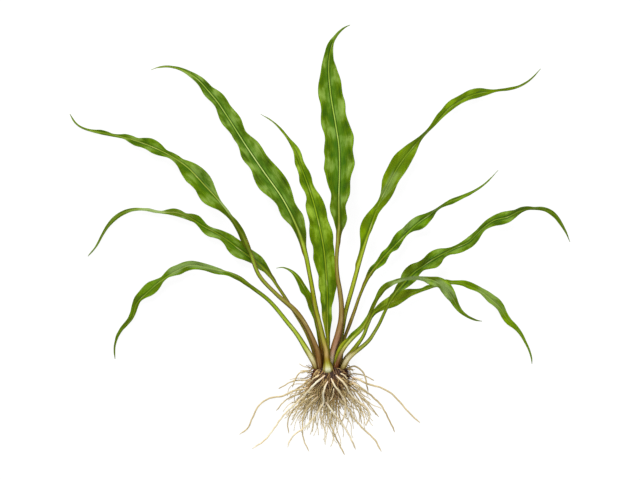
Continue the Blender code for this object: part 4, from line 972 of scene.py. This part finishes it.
leaves["leaf_right_low"] = {
    "midrib": (
        (342, 367, 4, 2.8), (344.1, 361.5, 4.1, 2.8), (346.4, 357.5, 4.2, 2.8), (349, 354.7, 4.3, 2.8),
        (351.3, 352.4, 4.4, 2.8), (353.3, 349.9, 4.5, 2.8), (355.6, 347.1, 4.6, 2.8),
        (357.5, 344.6, 4.7, 2.8), (359.6, 341.8, 4.8, 2.6), (362, 338.4, 4.8, 2.4), (364.3, 334, 4.9, 2.35),
        (366.8, 327.4, 4.9, 2.3), (369, 322, 5, 2.2), (371.2, 317.2, 5.1, 2), (374, 313.1, 5.3, 1.8),
        (377.8, 310, 5.5, 1.6), (382.9, 306.7, 5.7, 1.4), (390.8, 302.6, 5.8, 1.2), (395, 300.5, 5.9, 1.2),
        (405, 295.3, 6.2, 1.2), (420.5, 290.2, 6.7, 1.2), (432, 287.1, 7, 1.1), (449.7, 282.8, 7.5, 1),
        (460.7, 282.9, 7.5, 1), (474.6, 288.1, 7.1, 1), (491, 299.3, 6.2, 1), (501, 308.9, 5.3, 1),
        (506.1, 316.9, 4.6, 1), (515.3, 326.7, 3.8, 1), (525.4, 341.7, 2.4, 0.9), (529.9, 350.6, 1.7, 0.8),
        (532.2, 359.1, 1, 0.6), (532.5, 364.8, 0.6, 0.3),
    ),
    "left": (40, (
        0.9, 2.2, 3.1, 3.7, 4.1, 3.9, 3.8, 3.1, 1.8, 1.1, 2, 1.4, 1.5, 2.6, 1.5, 1.5, 2.2, 2.5, 2.5, 2.6,
        3.1, 3.4, 3.7, 3.2, 2.4, 2, 1.5, 1.5, 1.5, 1.3, 0.8, 0.5, 0.3, 0.3,
    )),
    "right": (40, (
        1.1, 1.6, 2.3, 3.2, 3.7, 3.5, 3, 2.1, 1.6, 1.2, 0.9, 0.5, 1.1, 1.2, 1.1, 1.5, 1.8, 2.1, 1.6, 1.3,
        1.9, 2.5, 2.2, 2.1, 2.4, 2.6, 2.7, 1.8, 1, 0.7, 0.7, 0.7, 0.7, 0.5,
    )),
    "waveHeight": 1.3,
    "leftBands": (51.6, 64.6, 96.6, 119.6, 141.6),
    "rightBands": (56.6, 67.6, 91.6, 110.5, 124.6, 143.6),
    "blade": ((112, 150, 0), (112, 142, 0), (130, 168, 0)),
    "stem": (
        (0, 150, 130, 60), (0.049, 175, 170, 55), (0.069, 155, 160, 20), (0.108, 170, 190, 50),
        (0.267, 115, 140, 10), (0.356, 110, 135, 0), (0.505, 150, 180, 65), (0.604, 115, 145, 15),
        (0.703, 150, 180, 60), (0.802, 125, 155, 35), (1, 105, 135, 25),
    ),
    "sides": ((90, 115, 0), (85, 110, 0)),
    "turns": ((87, 1.2, 8),),
    # a painted pool of light, which lightens the blade where the leaves above cast their shadow
    "yellow": ((44, 74, -6, 6, 0.22),),
    "pale": ((114, 136, -4, 2, 0.35),),
}
leaves["leaf_small"] = {
    "midrib": (
        (322.8, 367.6, 4, 2.4), (322.4, 359, 4.1, 2.5), (321.8, 351, 4.2, 2.5), (320.6, 341.1, 4.6, 2.3),
        (317.6, 328.2, 5.2, 1.4), (313.3, 313.4, 5.4, 1.1), (309.4, 300.4, 5.2, 1),
        (303.8, 287.3, 4.6, 0.9), (297.2, 277.2, 3.8, 0.8), (291.4, 271.2, 3, 0.8),
        (281.7, 267.5, 1.9, 0.7), (275.9, 268.3, 0.8, 0.3),
    ),
    "left": (12, (1.2, 1.7, 1.6, 1.2, 1.1, 0.8, 1.3, 2, 1.9, 2, 3.2, 2.7, 2, 1.3, 0.8, 0.3, 0)),
    "right": (20, (1, 1.8, 2.1, 3.7, 3.8, 4.1, 2.8, 2.6, 1.9, 1.5, 1.6, 1.3, 0.7, 0.3, 0)),
    "waveHeight": 1,
    "leftBands": (35, 51),
    "rightBands": (35, 50),
    "blade": ((106, 110, 0), (88, 120, 0), (112, 142, 0)),
    "stem": (
        (0, 95, 55, 20), (0.06, 120, 80, 30), (0.141, 130, 90, 30), (0.301, 140, 140, 10),
        (0.502, 100, 125, 0), (0.703, 110, 135, 5), (0.804, 140, 170, 35), (1.005, 115, 145, 25),
    ),
    "sides": ((105, 85, 10), (95, 92, 5)),
}


# Rootstock

rootstockForm = {
    "rings": (  # v, half width, half depth and height of the middle, from the low crown to the lower end
        (349.0, 1.2, 0.5, 1.9), (351.0, 4.2, 1.1, 2.0), (355.0, 5.6, 1.4, 2.1), (360.0, 7.6, 1.6, 2.4),
        (364.0, 9.4, 2.0, 3.4), (366.5, 10.0, 2.8, 5.2), (369.0, 10.6, 4.6, 7.2), (372.0, 11.3, 6.9, 8.0),
        (375.6, 11.9, 9.0, 8.2), (380.0, 12.2, 9.4, 8.2), (384.4, 11.0, 9.0, 8.2), (388.2, 8.0, 6.2, 8.2),
        (391.0, 3.6, 3.0, 8.2), (392.2, 0.6, 0.6, 8.2),
    ),
    "u": 330.0,
    "v": 380.0,
    "height": 8.2,
    "fullerBelow": 1.12,
    "lumps": ((5, 1, 0.035), (3, -2, 0.025), (9, 2, 0.02), (14, -3, 0.012)),  # count, turn and size of each
    "scars": (2.1, 0.35),  # length from one leaf scar to the next, and how high its ridge stands
    "radius": 12.0,  # of the barrel, for the share of it that a ridge takes
    "along": 90,
    "around": 140,
}


def addRootstock(settings):
    # A lumpy barrel along Y: rings of points at curved half widths and depths, each radius times waves around
    # it, with ridges where leaves have been. Its underside is cut flat where it rests.
    rows = np.array(settings["rings"], float)
    at = np.linspace(rows[0, 0], rows[-1, 0], settings["along"])
    wide, deep, middle = np.hsplit(curveThrough(rows[:, 0], rows[:, 1:], at), 3)
    wide, deep = np.maximum(wide, 0.3), np.maximum(deep, 0.3)
    around = 2 * np.pi * np.arange(settings["around"]) / settings["around"]
    v = at[:, None]
    lump = 1 + sum(tall * np.sin(count * around + turn * v) for count, turn, tall in settings["lumps"])
    gap, ridge = settings["scars"]
    scars = np.sin(2 * np.pi * (v * picture["pixel"] / gap + 0.4 * np.sin(3 * around)))
    lump += ridge / settings["radius"] * np.maximum(0.0, scars) ** 3
    fullness = np.where(np.cos(around) > 0, settings["fullerBelow"], 1.0)
    x = (settings["u"] - picture["centreU"]) * picture["pixel"] + wide * lump * np.sin(around)
    y = (picture["centreV"] - v) * picture["pixel"] + 0.0 * around
    z = np.maximum(middle - deep * fullness * lump * np.cos(around), 0.0)
    rings = np.stack([x, y, z], axis=-1)
    faces = ringFaces(*rings.shape[:2])
    addPiece("rootstock_bark", "rootstock", closed(rings), faces, rootstockMaterial(), {})


rootstockFinish = {
    "roughness": 0.9,
    "gloss": 0.15,
    "blotches": 260.0,  # per metre
    "blotchRange": (0.35, 0.68),  # of their noise, from dark to light
    "dark": (44, 20, 4),
    "light": (92, 48, 14),
    "grains": 1400.0,
    "grainRange": (0.60, 0.78),
    "grain": (140, 108, 66),
    "grainStrength": 0.4,
    "bumpDepth": 0.0004,
}


def rootstockMaterial():
    finish = rootstockFinish
    paint = Paint("rootstock_bark", {"Roughness": finish["roughness"], "Specular IOR Level": finish["gloss"]})
    blotch = paint.noise(paint.place(), finish["blotches"], 4.0)
    grain = paint.noise(paint.place(), finish["grains"], 3.0)
    worn = paint.between(blotch, *finish["blotchRange"])
    brown = paint.mix(worn, shade(*finish["dark"]), shade(*finish["light"]))
    grainy = paint.between(grain, *finish["grainRange"]) * finish["grainStrength"]
    paint.feed("Base Color", paint.mix(grainy, brown, shade(*finish["grain"])))
    paint.bump(blotch + grain * 0.5, 0.7, finish["bumpDepth"])
    return paint.material


# Roots

rootForm = {
    "stations": 90,
    "sides": 12,
    "tip": 0.72,  # thickness at the tip, as a share of the thickness drawn
    "clearance": 0.6,  # between a main root and what it lies on
    "layer": 1.25,  # from one layer of crossing roots to the next
    "swelling": 0.06,  # how much its thickness varies, as a share, and over what lengths
    "swellings": (9.0, 5.0, 3.4),
    "wobble": 0.20,  # how far a root strays from its smooth path
    "wobbles": (23.0, 13.0, 8.0),
    "wobbleSetsIn": 0.2,  # the share of its length over which it begins to
    "sink": 1.0,  # how deep its start goes into the rootstock
    "sinkEnds": 0.12,  # the share of its length at which it is out
    "start": 0.72,  # its thickness at the start, as a share of the thickness that it soon has
    "startEnds": 0.1,
    "toneChange": 0.12,
    "toneChanges": (31.0, 17.0),
}
fan = {  # the form of the fine roots as a whole, in pixels and degrees; its heights in mm
    "innerU": 21.0,  # half axes of its inner edge
    "innerV": 13.2,
    "tip": 61.0,  # reach of its lobes and of the notches between them
    "notch": 47.0,
    "lobes": 7,
    "sharpness": 1.5,
    "halfAngle": 84.0,
    "sideRoom": 8.0,
    "height": 8.0,  # from its outer edge up to its inner one
    "edgeHeight": 0.6,
    "slope": 1.5,
}
dome = {"halfWidth": 12.2, "halfLength": 7.6, "upward": 9.4, "halfDepth": 9.2}  # over the rootstock, in mm


def fanReach(angle):  # in pixels, at an angle from straight down: a power of a cosine between notch and tip
    lobe = np.abs(np.cos(angle * (fan["lobes"] - 1) * np.pi / (2 * np.radians(fan["halfAngle"]))))
    return fan["notch"] + (fan["tip"] - fan["notch"]) * lobe ** fan["sharpness"]


def fanTop(share):
    return fan["edgeHeight"] + fan["height"] * np.clip(1 - share, 0.0, 1.0) ** fan["slope"]


def domeTop(across, down):  # height of an ellipsoid over the rootstock, or 0; in pixels from its middle
    lengthwise = np.where(down < 0, dome["upward"], dome["halfLength"])
    far = np.hypot(across / dome["halfWidth"], down / lengthwise) * picture["pixel"]
    rise = dome["halfDepth"] * np.sqrt(np.maximum(0.0, 1 - far**2))
    return np.where(far < 1, rootstockForm["height"] + rise, 0.0)


def groundUnder(u, v):  # height of what lies below a main root: the rootstock, the fine roots or nothing
    across, down = u - rootstockForm["u"], v - rootstockForm["v"]
    angle = np.arctan2(across, down)
    inner = 1 / np.hypot(np.sin(angle) / fan["innerU"], np.cos(angle) / fan["innerV"])
    share = (np.hypot(across, down) - inner) / (fanReach(angle) - inner)
    inFan = (np.abs(angle) < np.radians(fan["halfAngle"] + fan["sideRoom"])) & (share < 1)
    return np.maximum(domeTop(across, down), np.where(inFan, fanTop(np.maximum(share, 0.0)), 0.0))


def tubesAlong(paths, radii, sides):
    # A ring of points around each point of each path: its radius there, times side times the cosine plus up
    # times the sine of the angle around.
    along = unit(np.gradient(paths, axis=1))
    side = unit(np.cross(along, (0.02, 0.01, 1.0)))
    up = np.cross(side, along)
    around = 2 * np.pi * np.arange(sides) / sides
    ring = side[:, :, None, :] * np.cos(around)[:, None] + up[:, :, None, :] * np.sin(around)[:, None]
    return paths[:, :, None, :] + ring * radii[:, :, None, None]


def addTubes(name, node, paths, radii, sides, values, material):
    count, stations = paths.shape[:2]
    rings = tubesAlong(paths, radii, sides)
    poles = np.stack([paths[:, 0], paths[:, -1]], axis=1)
    points = np.concatenate([rings.reshape(count, -1, 3), poles], axis=1)
    each = points.shape[1]
    faces = ringFaces(stations, sides)
    whole = [[corner + each * tube for corner in face] for tube in range(count) for face in faces]
    values = {
        word: np.concatenate([np.repeat(number, sides, axis=1), number[:, :1], number[:, -1:]], axis=1)
        for word, number in values.items()
    }
    addPiece(name, node, points.reshape(-1, 3), whole, material, values)


def addRoot(node, drawing, seed):
    # A tube along the drawn path, on what lies below it. Sums of sines vary its path, thickness and tone.
    form, random = rootForm, np.random.default_rng(seed)
    pixels, thickness, layer, cream = drawing
    drawn = np.array(pixels, float)
    knots = lengthsAlong(drawn)
    share = np.linspace(0.0, 1.0, form["stations"])
    at = share * knots[-1]
    spots = curveThrough(knots, drawn, at)
    near = form["stations"] // 10
    ground = smoothed(highestNear(groundUnder(*spots.T), near), near / 3)
    width = thickness * (1 - (1 - form["tip"]) * share)
    width *= form["start"] + (1 - form["start"]) * ease(share, 0.0, form["startEnds"])
    width *= 1 + form["swelling"] * wander(at, form["swellings"], random)
    height = ground + form["clearance"] + width / 2 - form["sink"] * (1 - ease(share, 0.0, form["sinkEnds"]))
    height += layer * form["layer"] * np.clip(6 * (1 - share), 0.0, 1.0)  # down again over its last sixth
    path = np.column_stack([onPlane(spots), height])
    stray = np.column_stack([wander(at, form["wobbles"], random) for axis in range(3)])
    path += form["wobble"] * ease(share, 0.0, form["wobbleSetsIn"])[:, None] * stray
    path[:, 2] = np.maximum(path[:, 2], width / 2 + floorGap)
    radii = width / 2 * np.sqrt(np.clip((1.0 - share) * 16, 0.05, 1.0))  # rounded over its last sixteenth
    tone = cream + form["toneChange"] * wander(at, form["toneChanges"], random)
    values = {"out": share[None, :], "tone": tone[None, :]}
    addTubes(node + "_fibre", node, path[None], radii[None], form["sides"], values, rootMaterial)


rootFinish = {
    "roughness": 0.55,
    "tones": ((0.0, 180, 156, 100), (0.3, 222, 200, 144), (0.7, 250, 228, 180), (1.0, 255, 246, 214)),
    "blotches": 420.0,  # per metre
    "blotchStrength": 0.5,
    "tipDarker": 0.12,
    "start": (240, 196, 170),  # its pinkish first tenth
    "startFade": (0.10, 0.0),
    "startStrength": 0.5,
    "specks": 1500.0,
    "speckRange": (0.58, 0.80),
    "speck": (172, 142, 92),
    "speckStrength": 0.35,
    "bumpDepth": 0.0002,
}


def makeRootMaterial():
    finish = rootFinish
    paint = Paint("root_skin", {"Roughness": finish["roughness"]})
    out, tone = paint.read("out", "tone")
    blotch = paint.noise(paint.place(), finish["blotches"], 3.0)
    speck = paint.noise(paint.place(), finish["specks"])
    pale = tone + (blotch - 0.5) * finish["blotchStrength"] - out * finish["tipDarker"]
    skin = paint.ramp(pale, stops(finish["tones"]))
    pink = paint.between(out, *finish["startFade"]) * finish["startStrength"]
    skin = paint.mix(pink, skin, shade(*finish["start"]))
    specks = paint.between(speck, *finish["speckRange"]) * finish["speckStrength"]
    skin = paint.mix(specks, skin, shade(*finish["speck"]))
    paint.feed("Base Color", skin)
    paint.bump(blotch + speck * 0.4, 0.4, finish["bumpDepth"])
    return paint.material


# Fine roots: some hundreds of fibres, and a tangle of them over the rootstock

# spread: degrees to each side. reach: share of the mass's own. down: pixels from the rootstock's middle to
# where they start. high: share of the mass's height. forks: share of them that fork.
fibreGroups = {
    "fine_root_fibres": {
        "seed": 11, "count": 104, "spread": 58, "reach": (0.45, 1.02), "thickness": (0.5, 0.82),
        "down": (-7.0, 4.0), "high": (0.45, 1.0), "tone": (-0.14, 0.22), "forks": 0.3,
    },
    "fine_root_tips": {
        "seed": 12, "count": 36, "spread": 78, "reach": (0.95, 1.34), "thickness": (0.56, 0.8),
        "down": (-5.0, 4.0), "high": (0.1, 0.6), "tone": (-0.2, 0.05), "forks": 0.8,
    },
    "fine_root_sides": {
        "seed": 13, "count": 36, "spread": 116, "reach": (0.6, 1.25), "thickness": (0.45, 0.72),
        "down": (-10.0, 2.0), "high": (0.3, 0.9), "tone": (-0.14, 0.2), "forks": 0.3,
    },
    # a lower layer of darker fibres, whose tone stands in for the shade in the gaps between the fibres above
    "fine_root_depth": {
        "seed": 14, "count": 130, "spread": 60, "reach": (0.3, 0.66), "thickness": (0.58, 0.9),
        "down": (-7.0, 4.0), "high": (0.0, 0.5), "tone": (-0.14, 0.04), "forks": 0,
    },
    "fine_root_tangle": {
        "seed": 15, "count": 260, "spread": 150, "reach": (0.16, 0.5), "thickness": (0.4, 0.72),
        "down": (-14.0, 4.0), "high": (1.0, 1.08), "tone": (-0.28, 0.2), "forks": 0,
    },
}
fibreForm = {
    "stations": 22,
    "sides": 4,
    "startAcross": 13.0,  # pixels from the middle of the rootstock to where the outermost start
    "startStray": 3.0,
    "massReach": (14.0, 38.0),  # pixels, sideways and how many more straight down
    "massShape": 1.4,  # the power of the cosine that blends the two
    "lean": -0.12,
    "darkest": 7.0,  # pixels from the rootstock's middle up to where the fibres are darkest
    "sideRise": 2.0,  # how much higher those at the sides start
    "bend": 0.32,
    "bendTurns": (1.0, 4.0),
    "ripple": 0.32,
    "rippleShare": (0.4, 1.0),
    "rippleLength": (2.2, 5.0),
    "droop": 0.22,  # how far a fibre turns towards straight down
    "forkTurn": 0.42,
    "forkAt": (0.5, 0.8),  # shares of the length between which a fork turns away
    "taper": 0.4,
    "clearance": 0.4,
}


def fibrePaths(group, random):
    # A fibre sets out at an angle that grows with how far across it starts, and its heading swings by a slow
    # sine and ripples by a quick one. A fork leaves another fibre's path near its end. Heights are shares of
    # the mass's.
    form = fibreForm
    size = (group["count"], 1)
    share = np.linspace(0.0, 1.0, form["stations"])[None, :]
    angle = np.radians(group["spread"]) * random.triangular(-1.0, 0.0, 1.0, size) + form["lean"]
    sideways, more = form["massReach"]
    reach = sideways + more * np.maximum(np.cos(angle), 0.0) ** form["massShape"]
    reach = reach * random.uniform(*group["reach"], size)
    across = form["startAcross"] * np.sin(np.clip(angle, -1.5, 1.5))
    across = across + random.normal(0.0, form["startStray"], size)
    down = random.uniform(*group["down"], size) - form["sideRise"] * np.abs(np.sin(angle))
    swing = random.normal(0.0, form["bend"], size) * np.sin(random.uniform(*form["bendTurns"], size) * share)
    ripple = random.uniform(*form["rippleShare"], size) * form["ripple"]
    quick = share * reach / random.uniform(*form["rippleLength"], size)
    ripple = ripple * np.sin(quick + random.uniform(0.0, 6.3, size))
    heading = angle * (1 - form["droop"] * share) + swing + ripple
    high, thick, tone = (random.uniform(*group[name], size) for name in ("high", "thickness", "tone"))
    forks = int(group["count"] * group["forks"])
    if forks:
        turn = form["forkTurn"] * random.choice([-1.0, 1.0], (forks, 1)) * ease(share, *form["forkAt"])
        heading = np.vstack([heading, heading[:forks] + turn])
        across, down, reach, high, thick, tone = (
            np.vstack([value, value[:forks]]) for value in (across, down, reach, high, thick, tone)
        )
    step = reach / (form["stations"] - 1)
    across = across + np.cumsum(np.sin(heading), axis=1) * step
    down = down + np.cumsum(np.cos(heading), axis=1) * step
    u, v = rootstockForm["u"] + across, rootstockForm["v"] + down
    height = np.stack([smoothed(row, 1.2) for row in groundUnder(u, v)]) * high + form["clearance"]
    radii = thick / 2 * (1 - form["taper"] * share)
    flat = onPlane(np.column_stack([u.ravel(), v.ravel()])).reshape(*u.shape, 2)
    paths = np.concatenate([flat, np.maximum(height, radii + floorGap)[..., None]], axis=2)
    values = {"out": np.hypot(across, down + form["darkest"]) / fan["tip"], "tone": tone + 0 * share}
    return paths, radii, values


def addFineRoots():
    material = fineRootMaterial()
    for name, group in fibreGroups.items():
        paths, radii, values = fibrePaths(group, np.random.default_rng(group["seed"]))
        addTubes(name, "fine_roots", paths, radii, fibreForm["sides"], values, material)


fibreFinish = {
    "roughness": 0.75,
    "tones": (  # from the darkest fibres at the rootstock to the tips
        (0.0, 70, 36, 2), (0.16, 136, 92, 36), (0.27, 206, 162, 90),
        (0.40, 244, 214, 142), (0.95, 252, 234, 186),
    ),
    "grains": 900.0,  # per metre
    "grainStrength": 0.16,
    "bumpDepth": 0.0001,
}


def fineRootMaterial():
    finish = fibreFinish
    paint = Paint("fine_root_skin", {"Roughness": finish["roughness"]})
    out, tone = paint.read("out", "tone")
    grain = paint.noise(paint.place(), finish["grains"])
    pale = out + tone + (grain - 0.5) * finish["grainStrength"]
    paint.feed("Base Color", paint.ramp(pale, stops(finish["tones"])))
    paint.bump(grain, 0.3, finish["bumpDepth"])
    return paint.material


# Each main root: its path from the rootstock to its tip, its thickness at the start, the layer that it runs
# in where roots cross, and how far its tone lies from tan to cream.
roots = {
    "root_left_long": ((
        (309.5, 387), (302, 389.3), (293, 391), (283.5, 396), (267.7, 399.2), (258, 407), (252, 419),
        (248, 428), (239, 435),
    ), 1.25, 0, 0.35),
    "root_left_front": ((
        (325, 375), (312.6, 385.5), (303, 397), (290.8, 408), (280, 420), (272.6, 431), (265, 440),
        (252, 449.5),
    ), 1.35, 1, 0.9),
    "root_left_upper": (((308.6, 380.5), (301, 380), (293, 381.2), (285, 385.4), (278, 389)), 1.0, 0, 0.3),
    "root_left_short": (((310.4, 373), (305, 371.6), (300, 373), (295.6, 379), (292, 387.5)), 1.0, 2, 0.3),
    "root_left_small": ((
        (313.5, 391.5), (303, 393.5), (293, 396), (283.5, 402.5), (276, 411),
    ), 1.0, 0, 0.3),
    "root_left_down": ((
        (315.5, 394), (308, 399), (299, 405), (291.5, 413), (287.5, 423), (289, 434),
    ), 0.95, 0, 0.3),
    "root_left_low": ((
        (318.5, 396), (309.5, 404.5), (303.5, 416), (302.4, 428), (304, 441), (309, 452),
    ), 1.0, 0, 0.45),
    "root_left_top": (((319.5, 374.4), (315.7, 376.8), (310.6, 381), (306.2, 385.6)), 1.0, 2, 0.6),
    "root_fork_left": ((
        (328, 380.5), (324.8, 387), (323.2, 395), (323.6, 401), (318.6, 411), (311.4, 420.5), (303, 429),
        (294.4, 435), (289.5, 442), (287.7, 447.7),
    ), 1.3, 1, 0.9),
    "root_fork_right": (((325.9, 402), (335.6, 415.6), (343, 425), (349, 435), (356, 450)), 1.35, 3, 0.9),
    "root_centre_short": (((333.8, 388), (333.4, 392), (332.4, 396.5), (329, 402)), 0.85, 2, 0.7),
    "root_centre": ((
        (331, 377.5), (334, 384), (340.5, 392.6), (344.7, 401), (345.3, 409.5), (343, 419), (339.5, 425.5),
    ), 1.25, 4, 0.75),
    "root_low_centre": ((
        (328, 395.5), (328, 408), (329.4, 421), (333, 431.5), (337.5, 441), (344.7, 455.6),
    ), 1.15, 0, 0.3),
    "root_right_low": ((
        (337.5, 396), (342, 402.5), (347.7, 408), (353.8, 418), (364.7, 430.5), (373, 438), (381.7, 452),
    ), 1.3, 0, 0.5),
    "root_right_front": ((
        (335.6, 374.6), (344, 383), (351.4, 395), (358.6, 402), (367, 408), (369.5, 415.6), (366, 426.5),
    ), 1.3, 1, 0.85),
    "root_right_thin": (((346.5, 393), (353, 402), (358.8, 412.5), (362, 424.5)), 0.9, 0, 0.3),
    "root_right_steep": ((
        (351.5, 382), (363.5, 389.6), (372, 396.4), (380.5, 404.7), (387.7, 417), (395, 432.6),
    ), 1.25, 0, 0.3),
    "root_right_branch": ((
        (350, 388), (358.6, 393.4), (366.5, 401), (372.5, 409), (379, 417.6),
    ), 0.9, 0, 0.3),
    "root_right_long": ((
        (352.2, 377.5), (358, 379), (366, 383.4), (380.5, 387.7), (391.4, 393.8), (400, 402.3),
        (408.3, 412), (420.5, 423.5),
    ), 1.3, 0, 0.45),
    "root_right_arch": ((
        (345.5, 370.4), (349.5, 367.4), (353, 366.4), (357.8, 367.8), (362.9, 372.3), (366, 379.4),
        (366.6, 385.7), (368.4, 392),
    ), 1.15, 3, 0.2),
    "root_right_small": (((352.4, 373.6), (358, 374.2), (366, 376.6), (374.4, 381)), 0.9, 0, 0.3),
    "root_right_top": (((340.4, 373), (344, 375), (347.5, 379.2)), 1.0, 1, 0.8),
}


bpy.context.scene.view_settings.view_transform = "Standard"
addCamera(cameraSettings)
addLight("key")
addLight("fill")
addSky(lightSettings)
addFloor(floorSettings)
print("camera, light and floor made")

for seed, (node, leaf) in enumerate(leaves.items(), start=1):
    addLeaf(node, leaf, seed)
print("leaves made:", len(leaves))

addRootstock(rootstockForm)
rootMaterial = makeRootMaterial()
for seed, (node, drawing) in enumerate(roots.items(), start=101):
    addRoot(node, drawing, seed)
print("main roots made:", len(roots))

addFineRoots()
print("fine roots made")
